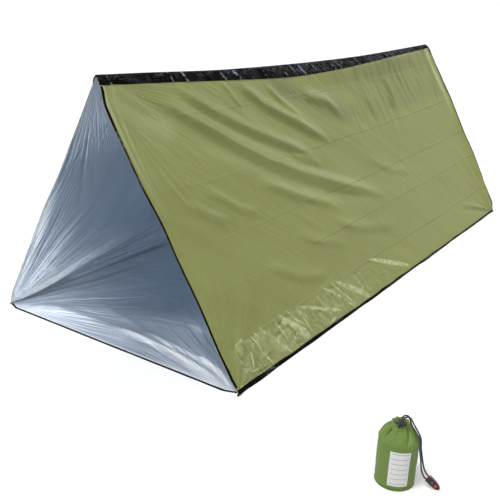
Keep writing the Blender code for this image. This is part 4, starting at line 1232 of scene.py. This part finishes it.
def eave_tape(side):
    """The tape at the foot of a slope: on the film up to an uneven top edge, then turned out on the ground.

    The part on the ground reaches out more and less along the tent, and is bunched round the front corner.
    """
    slope = Slope(side)
    t = slope.sizes
    along = slope.grid()[1][:1]
    a = along * t.tent_length
    bunch = bell(a, 0.022) * (side > 0)
    tall = 0.3 + 0.12 * lattice(a * 13, a * 0, 37 + side) + 0.3 * np.exp(-a / 0.35)
    tall = t.eave_tape * np.clip(tall, 0.2, 1)
    share = np.array((0.14, 0.35, 0.6, 0.8, 1.0))[:, None]
    up = np.maximum(share * tall, 0.003) / slope.long
    lumps = 0.0008 * (1 + lattice(a * 38, share * 3 + 0 * a, 31 + side)) * ease((1 - share) / 0.3)
    lift = (t.film + t.tape) / 2 + GAP + 0.0003 + lumps + 0.003 * bunch * (1 - share)
    wall = slope.point(up, along, slope.relief(up, along) + lift)
    reach = t.eave_flange * (0.8 + 0.45 * lattice(a * 9, a * 0, 33 + side)) + 0.006 * bunch
    ground = []
    for out, height in ((0.05, 0.0016), (0.45, 0.0), (1.0, 0.0)):
        x = t.floor_width / 2 + 0.0022 + reach * out
        waves = 0.0006 * out * (1 + lattice(a * 22, a * 0 + out, 35 + side))
        y = (along - 0.5) * t.tent_length - 0.012 * bunch
        z = t.tape / 2 + height + waves + 0.004 * out * bunch
        ground.append(np.stack([side * x, y, z], -1))
    middle = np.concatenate([*ground[::-1], wall])
    across = np.concatenate([np.array((-0.012, -0.006, -0.002))[:, None] + 0 * a, up * slope.long])
    flat = np.stack([np.broadcast_to(a, across.shape), across], -1)
    hand = "right" if side > 0 else "left"
    return taped(side, f"foot_tape_{hand}", middle, flat, None, f"eave_tape_{hand}")


def ridge_cover():
    """The black strip folded over the ridge.

    Across it, a number runs from -1 to 1. Each half lies on its slope, lifted off the film. The fold is rounded
    off by a narrow bell and puffed up by a wider one, most at the front. Crinkles and folds across the strip
    only stand up from it. Its gloss is a patchy band along the fold, and the folds across it are paled.
    """
    t = bpy.context.scene.tent_sizes
    along = np.linspace(0, 1, 800)[None, :]
    across = np.linspace(-1, 1, 45)[:, None]
    halves, slashes = [], 0
    for side in (-1, 1):
        slope = Slope(side)
        lift = (t.film + t.tape) / 2 + GAP
        peak = lift * slope.out_x / slope.out_z
        down = np.abs(across) * (strip_width(along) + peak)
        a = along * t.tent_length + 0 * down
        up = 1 + (peak - down) / slope.long
        folds = np.abs(scattered(
            a, down, (0, t.tent_length, 0.0, 0.09), 190, (0.03, 0.14), (0.004, 0.012), (0.3, 1.0),
            (math.radians(15), math.radians(75)), 41 + side, 0.9))
        waves = 0.6 + 0.4 * lattice(a * 7, down * 30, 43 + side)
        edge = ease((strip_width(along) + peak - down) / 0.012)
        rise = 0.003 * np.clip(folds, 0, 1.3) * edge + 0.0012 * waves * edge
        under = np.maximum(slope.relief(np.clip(up, 0, 1), along), 0)
        cuts = 0
        for start, reach, width, height in RIDGE_FOLDS:
            top, foot = (start - 0.02, -0.03), (start + reach, 0.085)
            cuts += crest(a, down, top, foot, (width, width), height, 0.9)
        half = across >= 0 if side > 0 else across < 0
        slashes += np.where(half, np.clip(cuts, 0, 1), 0)
        rise = rise + 0.0028 * cuts
        place = slope.point(up, along, lift + under + 0.0006 * edge + rise * ease(down / 0.01))
        place[..., 2] -= 0.0014 * bell(down, 0.003)
        puff = 1 - ease((along - 0.06) / 0.2) + 0.7 * ease((along - 0.65) / 0.25)
        place[..., 2] += t.strip_puff * puff * bell(down, 0.016)
        halves.append(np.where(half[..., None], place, 0))
    middle = halves[0] + halves[1]
    edge = ease((np.abs(across) - 0.3) / 0.25)
    shine = 1 - 0.92 * edge * (0.7 + 0.3 * lattice(along * 30, across * 3, 47))
    patches = ease((lattice(a * 16, across * 2.5, 53) + 0.1) / 0.3)
    shine = shine * (1 - 0.6 * ease((along - 0.55) / 0.2)) * patches
    # Painted highlight along the top of the fold, and painted glints on the folds across the strip
    painted_top_highlight = 0.2 * bell(np.abs(across) - 0.05, 0.05)
    painted_top_highlight = painted_top_highlight * (0.5 + 0.5 * lattice(a * 9, across * 4, 57))
    torn = 0.75 + 0.45 * lattice(a * 70, across * 7, 59)
    paled = np.clip(0.95 * (slashes * torn - 0.42) / 0.55, 0, 1) + np.maximum(painted_top_highlight, 0)
    flat = stacked(a, across * 0.08)
    middle, flat, shine, paled = middle[::-1], flat[::-1], shine[::-1], np.clip(paled, 0, 1)[::-1]
    masks = {**plain_masks(middle.shape[:2]), "gloss": shine * 0.5, "streak": shine, "paled": paled}
    piece = shell("ridge_cover", middle, t.tape, {"surface": flat, "polar": flat}, masks=masks)
    finish_piece(piece, "ridge", "black_film", "ridge_strip", materials=[material("black_film")] * 2)
    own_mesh(piece)


def floor_relief(x, a, half, end, height):
    """Folds on the floor: pulls from its corners, the folds along its front and crinkles, never below 0."""
    total = np.zeros(np.shape(x))
    for sx, turns in ((-1, (0.05, 1.45)), (1, (math.pi - 0.05, math.pi / 2 + 0.1))):
        front, back = np.array((sx * half, 0.0)), np.array((sx * half, end))
        total += fan(x, a, front, turns, 17, (0.35, 0.95), 1.0, 80 + sx, 0.6)
        total += fan(x, a, back, (-turns[0], -turns[1]), 11, (0.3, 0.7), 0.7, 84 + sx, 0.6)
    total += scattered(
        x, a, (-half, half, 0.02, end), 150, (0.1, 0.35), (0.012, 0.028), (0.08, 0.3), (0, math.pi), 88, 0.2)
    total = total * (0.25 + 0.75 * ease((a - 0.1) / 0.15))
    for points, width, rise, _ in FLOOR_FOLDS:
        total += 1.6 * drape(x, a, points, width * 1.2, rise)
    total += 0.35 * lattice(x * 6, a * 5, 89)
    total = height * np.clip(total + 0.3, 0, 2.6)
    return total * ease((half - np.abs(x)) / 0.03) * (0.1 + 0.9 * ease(a / 0.09))


def floor_grid():
    """The floor's grid across and along, its points with a lip at the front, and half its width."""
    t = bpy.context.scene.tent_sizes
    slope = Slope(1)
    lean = t.floor_width / 2 / t.ridge_height
    half = t.floor_width / 2 - t.film / 2 / slope.out_x - t.film * lean - 2 * GAP
    hem = np.array((0.5, 1.0)) * t.hem_width
    lines = [np.linspace(0, 1.1, 170), np.linspace(1.1, t.tent_length, 80), hem, t.tent_length - hem]
    a = np.unique(np.round(np.concatenate(lines), 5))[None, :]
    columns = np.concatenate([np.linspace(-half, -0.3, 60), np.linspace(-0.3, half, 128)[1:]])
    x, a = np.broadcast_arrays(columns[:, None], a)
    z = t.film / 2 + floor_relief(x, a, half, t.tent_length, bpy.context.scene.tent_folds.floor_fold)
    lip = t.floor_lip * (1 - ease(a / 0.1)) * ease((half - np.abs(x)) / 0.05)
    return x, a, np.stack([x, a - t.tent_length / 2 - lip, z], -1), half


def ground_sheet():
    """The floor, silver side up.

    It is paled along its folds, by rays out of its corners with a haze round the left one, a little over its
    middle, and in a line behind the front tape. It is darkened along its troughs and in a band there.
    """
    t = bpy.context.scene.tent_sizes
    x, a, middle, half = floor_grid()
    near = np.where(x < 0, x + half, half - x)
    reach = np.hypot(near, a) + 0.004
    polar = np.stack([np.arctan2(a, near), np.log(reach)], -1)
    pulled = 0.32 * reach / 0.15 * (1 - ease(reach / 1.1)) * ease(np.abs(x) / 0.25)
    # Painted light along the folds, and painted shade along their troughs and in a band behind the front
    paled, dark = np.zeros_like(x), np.zeros_like(x)
    for points, width, _, light in FLOOR_FOLDS:
        paled = np.maximum(paled, drape(x, a, points, width, max(light, 0)))
        dark = np.maximum(dark, drape(x, a, points, width, max(-light, 0)))
    front = ease((a - 0.03) / 0.05) * (1 - ease((a - 0.08) / 0.25)) * ease((x + 0.3) / 0.35)
    dark = np.clip(np.maximum(1.9 * dark, 0.85 * front) * (1 - np.clip(1.3 * paled, 0, 1)), 0, 1)
    # Painted light: rays out of the corners, a glow round the left one, a little over the middle and a
    # highlight line behind the front tape
    rays = painted_light_rays(reach, polar[..., 0], 83, 0.5)
    corner = 1 - ease((np.hypot(x + half, a) - 0.1) / 0.5)
    haze = corner * (0.22 + 0.3 * rays)
    middle_light = 0.1 * ease((a - 0.25) / 0.3) * ease((0.3 - x) / 0.4)
    line = 0.95 * bell(a - t.hem_width - 0.003, 0.0055) * ease((half - np.abs(x)) / 0.03)
    paled = max_of((paled, 0.6 * rays, haze, middle_light, line))
    masks = {**plain_masks(x.shape, 0.5), "pull": pulled[::-1], "paled": paled[::-1], "crease": dark[::-1]}
    maps = {"surface": np.stack([a, x], -1)[::-1], "polar": polar[::-1]}
    piece = shell("ground_sheet", middle[::-1], t.film, maps, np.array((0, 0, 1.0)), masks=masks)
    films = [material("silver_film"), material("olive_film")]
    finish_piece(piece, "tent_film", "silver_film", "floor_panel", materials=films)
    return piece, half


def floor_hem(back):
    """The tape on the floor's free edge: the floor's own outermost columns, lifted off it."""
    t = bpy.context.scene.tent_sizes
    x, a, middle, half = floor_grid()
    chosen = a[0] >= t.tent_length - t.hem_width * 1.02 if back else a[0] <= t.hem_width * 1.02
    inside = np.abs(x[:, 0]) < half - 0.0022
    middle = middle[np.ix_(inside, chosen)] + (0, 0, (t.film + t.tape) / 2 + GAP)
    flat = np.stack([a, x], -1)[np.ix_(inside, chosen)]
    end = "back" if back else "front"
    masks = plain_masks(middle.shape[:2])
    maps = {"surface": flat[::-1], "polar": flat[::-1]}
    piece = shell(f"edge_tape_{end}_floor", middle[::-1], t.tape, maps, np.array((0, 0, 1.0)), masks=masks)
    tapes = [material("black_film")] * 2
    return finish_piece(piece, "tent_film", "black_film", f"{end}_hem_floor", materials=tapes)


# Sack


def sack_place():
    """The sack's frame in the tent's, as a turn matrix and a place."""
    s = bpy.context.scene.sack_sizes
    cosine, sine = math.cos(s.turn), math.sin(s.turn)
    turn = np.array([[cosine, -sine, 0], [sine, cosine, 0], [0, 0, 1]])
    return turn, np.array((s.place_x, s.place_y, 0.0))


def in_world(points):
    """Points of the sack's frame, in the tent's."""
    turn, place = sack_place()
    return np.asarray(points, float) @ turn.T + place


def turned(radius, turn, height):
    """Points at a radius and a height, turned about the sack's axis."""
    return in_world(stacked(radius * np.cos(turn), radius * np.sin(turn), height + 0 * turn))


def sack_profile(share, inset=0.0):
    """Radius and height of the sack's wall, from its foot at share 0 to its neck at share 1.

    The wall rises to the shoulder at share 0.62. From there the height rises evenly to the neck, while the
    radius falls by the power 1.45 of the way up, so that the shoulder is a cone with a rounded start.
    """
    s = bpy.context.scene.sack_sizes
    wall_share = 0.62
    foot = 0.0034 + inset
    low = np.clip(share / wall_share, 0, 1)
    tuck = 0.0014 * (1 - ease(low * s.shoulder / 0.02))
    high = np.clip((share - wall_share) / (1 - wall_share), 0, 1)
    wall, neck = s.radius - inset, s.neck_radius - inset
    radius = np.where(share <= wall_share, wall - tuck, wall - (wall - neck) * high**1.45)
    rise = s.shoulder + (s.neck - inset - s.shoulder) * high
    height = np.where(share <= wall_share, foot + (s.shoulder - foot) * low, rise)
    return radius, height


def pleats(turn, height):
    """Depth of the gathers round the sack at a height, from 0 to 1.

    Each is a narrow bell with a low swell on one side of it. It starts at its own height, deepens to the neck
    and swings round from its lower place to its upper one.
    """
    neck = bpy.context.scene.sack_sizes.neck
    total = np.zeros(np.broadcast_shapes(np.shape(turn), np.shape(height)))
    for upper, lower, size, width, start in SACK_PLEATS:
        risen = np.clip((height - start) / (neck - start), 0, 1)
        place = math.radians(lower) + math.radians(upper - lower) * ease(risen)
        off = ((turn - place + math.pi) % math.tau - math.pi) / math.radians(width)
        swell = 0.3 * np.exp(-((np.abs(off) - 1.9) ** 2)) * (off * (upper - lower) >= 0)
        total += size * (np.exp(-(np.abs(off) ** 1.6)) - swell) * ease(risen) ** 0.7
    return total * (1 - 0.8 * ease((height - neck + 0.007) / 0.006))


def sack_wall():
    """The sack's wall: its profile turned, pulled in along pleats that deepen to the neck, softly dented."""
    s = bpy.context.scene.sack_sizes
    turn = -np.linspace(0, math.tau, 420, endpoint=False)[:, None]
    share = np.concatenate([np.linspace(0, 0.6, 34), np.linspace(0.6, 1, 82)[1:]])[None, :]
    radius, height = sack_profile(share)
    around = turn / math.tau
    dents = 0.0009 * lattice(around * 7, height / 0.034, 51)
    dents = dents + 0.0003 * lattice(around * 24, height / 0.016, 52)
    level = ease(height / 0.02) * ease((s.neck + 0.004 - height) / 0.01)
    creases = 0.0016 * scattered(
        around * 0.3 + 0 * height, height + 0 * turn, (-0.3, 0, 0.085, 0.14), 26, (0.02, 0.05),
        (0.003, 0.006), (0.3, 1.0), (math.radians(50), math.radians(130)), 54, 0.6)
    depth = pleats(turn, height)
    radius = radius - s.pleat * depth + (dents + creases * ease((height - 0.08) / 0.03)) * level
    middle = turned(radius, turn, height)
    face = (turn + math.pi / 2 + math.pi) % math.tau - math.pi
    flat = stacked(face * s.radius, height)
    # Painted highlights on the rims of the gathers and painted shade in their deep hollows
    rims = bell(depth - 0.42, 0.12) * ease((height - 0.108) / 0.02)
    hollow_shade = ease((depth - 0.65) / 0.4) * ease((height - 0.115) / 0.02)
    masks = {**plain_masks(middle.shape[:2]), "paled": 0.38 * rims, "crease": 0.9 * hollow_shade}
    piece = shell("sack_wall", middle, s.cloth, {"surface": flat, "polar": flat}, wrapped=True, masks=masks)
    cloths = [material("sack_wall_cloth"), material("sack_cloth")]
    finish_piece(piece, "stuff_sack", "sack_cloth", "sack_body", materials=cloths)


def sack_mouth():
    """The gathered mouth: a folded channel turned round it, ruffled above and opened where the cord leaves.

    Its section runs up the outside from the neck, over the top and down the inside. The radius swells and
    shrinks with the pleats, more the higher it is, and the section is taken down where the cord leaves.
    """
    s, c = bpy.context.scene.sack_sizes, bpy.context.scene.cord_sizes
    section = np.array([
        (0.0258, 0.1506), (0.024, 0.1521), (0.0218, 0.1536), (0.0207, 0.155), (0.0206, 0.1566),
        (0.0208, 0.158), (0.0207, 0.1594), (0.0202, 0.1605), (0.019, 0.1611), (0.0172, 0.1611),
        (0.0155, 0.1605), (0.0147, 0.1594), (0.0145, 0.1575), (0.0144, 0.1555), (0.015, 0.1535),
        (0.016, 0.1528),
    ])
    turn = -np.linspace(0, math.tau, 480, endpoint=False)[:, None]
    radius, height = section[:, 0][None, :], section[:, 1][None, :]
    high = np.clip((height - 0.1535) / (s.top - 0.1535), 0, 1)
    ripple = 0.7 * np.cos(9 * turn) + 0.3 * np.cos(14 * turn + 1) + 0.35 * np.cos(23 * turn + 2)
    outside = (np.arange(len(section)) <= 9)[None, :]
    valley = pleats(turn, s.neck - 0.007) * outside
    radius = radius + 0.0012 * high * (1 + 1.3 * ripple) - 0.0016 * np.clip(valley, -0.4, 1)
    radius = np.where((np.arange(len(section)) <= 7)[None, :], np.maximum(radius, 0.0203), radius)
    height = height + 0.0005 * high * (ripple - 1) - 0.0004 * np.cos(17 * turn + 1) * high
    middle_turn = math.atan2(-c.draw_radius, c.lock_x - 0.0015)
    off = np.abs((turn - middle_turn + math.pi) % math.tau - math.pi) * s.neck_radius
    notch = 1 - ease((off - 0.0058) / 0.0022)
    height = height - notch * outside * np.maximum(height - 0.1531, 0)
    middle = turned(radius, turn, height)
    run = np.concatenate([[0], np.cumsum(np.hypot(*np.diff(section, axis=0).T))])[None, :]
    flat = stacked(turn * s.neck_radius, run)
    # Painted highlights along the channel's top and bottom edges
    edges = bell(run - 0.0012, 0.0007) + bell(run - 0.0092, 0.001)
    masks = {**plain_masks(middle.shape[:2]), "paled": 0.5 * edges * (0.6 + 0.4 * ripple / 1.35)}
    piece = shell("sack_mouth", middle, s.cloth, {"surface": flat, "polar": flat}, wrapped=True, masks=masks)
    finish_piece(piece, "stuff_sack", "sack_cloth", "sack_collar", materials=[material("sack_cloth")] * 2)


def closed_turn(name, radius, height, turns, seed, rough, cloth, slot, stands_for):
    """A closed shape turned about the sack's axis, from lowest to highest point, roughened by noise."""
    turn = np.linspace(0, math.tau, turns, endpoint=False)[:, None]
    radius, height = np.asarray(radius)[None, :], np.asarray(height)[None, :]
    bumps = rough * lattice(turn / math.tau * 16 + 0 * height, height / 0.012 + radius / 0.012, seed)
    points = turned(np.maximum(radius + bumps * ease(radius / 0.01), 0), turn, height)
    around = turn * bpy.context.scene.sack_sizes.radius
    flat = stacked(around, height + radius).reshape(-1, 2)
    masks = plain_masks(len(flat))
    faces = grid_faces(turns, radius.shape[1], wrapped=True)[:, ::-1]
    piece = make_mesh(name, points.reshape(-1, 3), faces, {"surface": flat, "polar": flat}, masks=masks)
    return finish_piece(piece, "stuff_sack", slot, stands_for, materials=[cloth])


def sack_foot():
    """The base disc with its rounded rim, and the welt round it as a ring whose stitches pinch it."""
    s = bpy.context.scene.sack_sizes
    rim = s.radius - 2 * WELT_RADIUS - GAP
    radius = (0, rim * 0.5, rim - 0.0004, rim, rim - 0.0004, rim * 0.5, 0)
    height = (0.0, 0.0, 0.0, 0.0006, 0.0012, 0.0012, 0.0012)
    cloth = material("sack_cloth")
    closed_turn("sack_base_disc", radius, height, 96, 61, 0, cloth, "sack_cloth", "sack_base")
    around = np.linspace(0, math.tau, 480, endpoint=False)[:, None]
    turn = np.linspace(0, math.tau, 13)[None, :]
    thick = WELT_RADIUS * (1 - 0.16 * np.cos(90 * around) ** 8)
    radius = s.radius - WELT_RADIUS + thick * np.cos(turn)
    height = WELT_RADIUS + thick * np.sin(turn)
    points = turned(radius, around, height)
    flat = stacked(around * s.radius, turn * WELT_RADIUS).reshape(-1, 2)
    masks = plain_masks(len(flat))
    faces = grid_faces(480, 13, wrapped=True)[:, ::-1]
    welt = make_mesh("sack_welt", points.reshape(-1, 3), faces, {"surface": flat, "polar": flat}, masks=masks)
    finish_piece(welt, "stuff_sack", "sack_cloth", "base_welt", materials=[cloth])


def packed_tent():
    """The packed film in the sack: just inside the cloth, pulled in where the pleats are, and crumpled."""
    s = bpy.context.scene.sack_sizes
    inset = s.cloth / 2 + 0.0028
    share = np.linspace(0, 1, 60)
    radius, height = sack_profile(share, inset)
    rim = s.radius - 2 * WELT_RADIUS - GAP
    radius = radius - 0.01 * ease((height - 0.085) / 0.05)
    radius = np.concatenate([[0, rim * 0.6, rim - 0.001], radius, [0.006, 0]])
    height = np.concatenate([[0.0015, 0.0015, 0.0016], np.maximum(height, 0.0042), [0.1496, 0.149]])
    film = material("packed_film")
    closed_turn("packed_tent", radius, height, 180, 63, 0.0007, film, "packed_film", "packed_bundle")


# Cords


def lock_line(away, side):
    """A point of a strand's straight run through the cord lock, in the sack's frame."""
    c = bpy.context.scene.cord_sizes
    rise = np.array((math.sin(c.lock_tilt), 0, math.cos(c.lock_tilt)))
    across = np.array((math.cos(c.lock_tilt), 0, -math.sin(c.lock_tilt)))
    return np.array((c.lock_x, -c.draw_radius, c.lock_z)) + rise * away + across * (side * c.spacing / 2)


def whistle_line(ahead, side):
    """A point on the line of one of the whistle's two cord sockets, in the sack's frame."""
    c = bpy.context.scene.cord_sizes
    forward = np.array((math.cos(c.whistle_dip), 0, -math.sin(c.whistle_dip)))
    across = np.array((math.sin(c.whistle_dip), 0, math.cos(c.whistle_dip)))
    place = np.array((c.whistle_x, c.whistle_y, c.whistle_z))
    return place + forward * ahead + across * (side * c.socket_spread)


def smooth_run(points, step):
    """Points about a step apart, on a Catmull-Rom curve through the given ones."""
    known = np.asarray(points, float)
    known = np.concatenate([[2 * known[0] - known[1]], known, [2 * known[-1] - known[-2]]])
    run = []
    for a, b, c, d in zip(known, known[1:], known[2:], known[3:]):
        t = np.linspace(0, 1, max(2, round(float(np.linalg.norm(c - b)) / step)) + 1)[:-1, None]
        square, cube = 2 * a - 5 * b + 4 * c - d, 3 * b - a - 3 * c + d
        run.append(0.5 * (2 * b + (c - a) * t + square * t**2 + cube * t**3))
    return np.concatenate([*run, known[-2:-1]])


def braided_tube(name, line, radius, sides=20):
    """A cord along a line: a braided circle carried on a frame that turns as little as it can.

    The braid's height is the larger of two spiral waves of opposite hands. The ends close on a point.
    """
    tangent = unit(np.gradient(line, axis=0))
    side = np.zeros_like(line)
    side[0] = unit(np.cross(tangent[0], (0.3, 0.9, 0.1)))
    for i in range(1, len(line)):
        side[i] = side[i - 1] - tangent[i] * (side[i - 1] @ tangent[i])
    side = unit(side)
    other = np.cross(tangent, side)
    gone = np.concatenate([[0], np.cumsum(np.linalg.norm(np.diff(line, axis=0), axis=1))])
    turn = np.linspace(0, math.tau, sides + 1)
    along = gone[:, None] / radius
    braid = np.maximum(np.sin(4 * turn + 2.2 * along), np.sin(4 * turn - 2.2 * along))
    reach = radius * (0.955 + 0.045 * braid)
    reach[[0, -1]] = 0
    ring = np.cos(turn)[None, :, None] * side[:, None] + np.sin(turn)[None, :, None] * other[:, None]
    points = line[:, None] + ring * reach[..., None]
    flat = stacked(turn * radius, gone[:, None]).reshape(-1, 2)
    faces = grid_faces(len(line), sides + 1)[:, ::-1]
    return make_mesh(name, points.reshape(-1, 3), faces, {"surface": flat})


class TENT_OT_cords(bpy.types.Operator):
    """Makes the two strands of the drawcord"""

    bl_idname = "tent.cords"
    bl_label = "Drawcord strands"

    def execute(self, context):
        c = context.scene.cord_sizes
        foot = -c.lock_radius - c.strand_foot
        clear = c.lock_radius + c.lock_travel
        for name, side in (("drawcord_strand_a", 1), ("drawcord_strand_b", -1)):
            straight = [lock_line(d, side) for d in (foot, 0, clear / 2, clear, clear + c.radius)]
            last = [whistle_line(d, side) for d in (-4 * c.radius, c.socket_depth - GAP)]
            line = in_world(smooth_run([*straight, *STRAND_RUNS[name], *last], 0.0012))
            piece = braided_tube("drawcord_" + name[-1], line, c.radius)
            finish_piece(piece, "stuff_sack", "braided_cord", name, materials=[material("braided_cord")])
        return {"FINISHED"}


# Operators


class TENT_OT_slopes(bpy.types.Operator):
    """Makes the two roof slopes and the tapes on them"""

    bl_idname = "tent.slopes"
    bl_label = "Roof slopes"

    def execute(self, context):
        for side in (1, -1):
            film = film_slope(side)
            tapes = [slope_hem(side, False), slope_hem(side, True), eave_tape(side)]
            Slope(side).long
            for piece in (film, *tapes):
                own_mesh(piece)
        return {"FINISHED"}


class TENT_OT_floor(bpy.types.Operator):
    """Makes the floor and the tapes on its free edges"""

    bl_idname = "tent.floor"
    bl_label = "Floor"

    def execute(self, context):
        film, half = ground_sheet()
        tapes = [floor_hem(False), floor_hem(True)]
        return {"FINISHED"}


class TENT_OT_ridge(bpy.types.Operator):
    """Makes the black strip over the ridge"""

    bl_idname = "tent.ridge"
    bl_label = "Ridge strip"

    def execute(self, context):
        ridge_cover()
        return {"FINISHED"}


class TENT_OT_sack(bpy.types.Operator):
    """Makes the stuff sack and what is packed in it"""

    bl_idname = "tent.sack"
    bl_label = "Stuff sack"

    def execute(self, context):
        sack_wall()
        sack_mouth()
        sack_foot()
        packed_tent()
        return {"FINISHED"}


SOLID_FINISHES = {
    "drawcord_loop": "braided_cord",
    "cord_lock_barrel": "lock_plastic",
    "cord_lock_button": "button_plastic",
    "cord_lock_spring": "spring_steel",
    "whistle_front_plate": "whistle_plastic",
    "whistle_back_plate": "whistle_plastic",
    "whistle_core": "whistle_orange",
    "whistle_pin": "spring_steel",
}


class TENT_OT_fittings(bpy.types.Operator):
    """Finishes the moulded and steel pieces, which keep the shape of their solids"""

    bl_idname = "tent.fittings"
    bl_label = "Fittings"

    def execute(self, context):
        for name, finish in SOLID_FINISHES.items():
            mesh = bpy.data.objects[name].data
            mesh.materials.clear()
            mesh.materials.append(material(finish))
        spring = bpy.data.objects["cord_lock_spring"]
        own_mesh(spring)
        return {"FINISHED"}


# Stage


def stage_material(name, base, camera_light):
    """Plain ground, with a little light of its own that only the camera sees."""
    made, tree, shader = blank_material(name, 0.9)
    shader.inputs["Base Color"].default_value = (*base, 1.0)
    shader.inputs["Emission Color"].default_value = (1, 1, 1, 1)
    seen = node(tree, "LightPath").outputs["Is Camera Ray"]
    tree.links.new(maths(tree, "MULTIPLY", seen, camera_light), shader.inputs["Emission Strength"])
    return made


def world_light(strength):
    """Even light, white where the camera, a gloss or a clear surface looks at it."""
    world = bpy.data.worlds.new("sky")
    bpy.context.scene.world = world
    world.use_nodes = True
    tree = world.node_tree
    sky = tree.nodes["Background"]
    sky.inputs["Color"].default_value = (1, 1, 1, 1)
    path = node(tree, "LightPath")
    seen = maths(tree, "MAXIMUM", path.outputs["Is Camera Ray"], path.outputs["Is Glossy Ray"])
    seen = maths(tree, "MAXIMUM", seen, path.outputs["Is Transmission Ray"])
    level = maths(tree, "ADD", strength, maths(tree, "MULTIPLY", seen, 1.0 - strength))
    tree.links.new(level, sky.inputs["Strength"])


def placed_in_scene(name, data, right, up, back, place):
    """An object turned so that its own three axes lie along right, up and back."""
    made = bpy.data.objects.new(name, data)
    bpy.context.scene.collection.objects.link(made)
    turn = np.stack([right, up, back, place], 1).tolist()
    made.matrix_world = Matrix([*turn, [0, 0, 0, 1]])
    return made


def lamp(name, kind, energy, place, aim, **settings):
    """A lamp at a place, aimed at a point."""
    light = bpy.data.lights.new(name, kind)
    light.energy = energy
    for key, value in settings.items():
        setattr(light, key, value)
    back = unit(np.subtract(place, aim))
    side = unit(np.cross((0, 1, 0), back))
    placed_in_scene(name, light, side, np.cross(back, side), back, place)


def make_camera(settings):
    """The camera from its heading, tilt and roll: right and up turned about the view line by the roll."""
    h, e, r = settings.heading, settings.tilt, settings.roll
    ahead = np.array((-math.sin(h) * math.cos(e), math.cos(h) * math.cos(e), -math.sin(e)))
    level = np.array((math.cos(h), math.sin(h), 0.0))
    upright = np.cross(level, ahead)
    right = level * math.cos(r) + upright * math.sin(r)
    up = -level * math.sin(r) + upright * math.cos(r)
    data = bpy.data.cameras.new("camera")
    data.lens = settings.lens
    data.sensor_width = 36
    data.clip_end = 500
    camera = placed_in_scene("camera", data, right, up, -ahead, settings.camera_place)
    bpy.context.scene.camera = camera


class TENT_OT_stage(bpy.types.Operator):
    """Makes the camera, the light and the ground"""

    bl_idname = "tent.stage"
    bl_label = "Stage"

    def execute(self, context):
        context.scene.view_settings.view_transform = "Standard"
        settings = context.scene.tent_stage
        make_camera(settings)
        world_light(settings.sky)
        lamp("key", "SUN", settings.key, (-0.15, -0.36, 0.92), (0, 0, 0), angle=math.radians(14))
        lamp(
            "glint", "SUN", settings.glint, (0.1, 0.9, 0.38), (0, 0, 0), angle=math.radians(9),
            color=(0.86, 0.93, 1.0))
        lamp(
            "opening", "AREA", settings.opening, (0.08, -2.0, 0.38), (-0.45, -1.1, 0.03), size=0.4,
            spread=math.radians(42), color=(0.9, 0.95, 1.0))
        half = settings.ground_size / 2
        corners = np.array([(-half, -half, 0), (half, -half, 0), (half, half, 0), (-half, half, 0)], float)
        ground = make_mesh("ground", corners, [[0, 1, 2, 3]])
        ground.data.materials.append(stage_material("ground", (0.82, 0.82, 0.82), 0.24))
        return {"FINISHED"}


OPERATORS = [
    TENT_OT_stage,
    TENT_OT_cords,
    TENT_OT_slopes,
    TENT_OT_floor,
    TENT_OT_ridge,
    TENT_OT_sack,
    TENT_OT_fittings,
]


class TENT_PT_panel(bpy.types.Panel):
    """Lists the pieces"""

    bl_label = "Tent"
    bl_idname = "TENT_PT_panel"
    bl_space_type = "VIEW_3D"
    bl_region_type = "UI"
    bl_category = "Tent"

    def draw(self, context):
        for operator in OPERATORS:
            self.layout.operator(operator.bl_idname)


SETTINGS = {
    "tent_sizes": TentSizes,
    "tent_folds": FoldSizes,
    "sack_sizes": SackSizes,
    "cord_sizes": CordSizes,
    "tent_finishes": Finishes,
    "tent_stage": StageSettings,
}


def register():
    """Registers the settings, the operators and the panel."""
    for one in (*SETTINGS.values(), *OPERATORS, TENT_PT_panel):
        bpy.utils.register_class(one)
    for name, group in SETTINGS.items():
        setattr(bpy.types.Scene, name, PointerProperty(type=group))


def unregister():
    """Takes them away again."""
    for name in SETTINGS:
        delattr(bpy.types.Scene, name)
    for one in (TENT_PT_panel, *reversed(OPERATORS), *SETTINGS.values()):
        bpy.utils.unregister_class(one)


def main():
    """Makes every piece in order, and writes the sizes of the solids and of the visual model."""
    register()
    for operator in OPERATORS:
        module, name = operator.bl_idname.split(".")
        getattr(getattr(bpy.ops, module), name)()


if __name__ == "__main__":
    main()
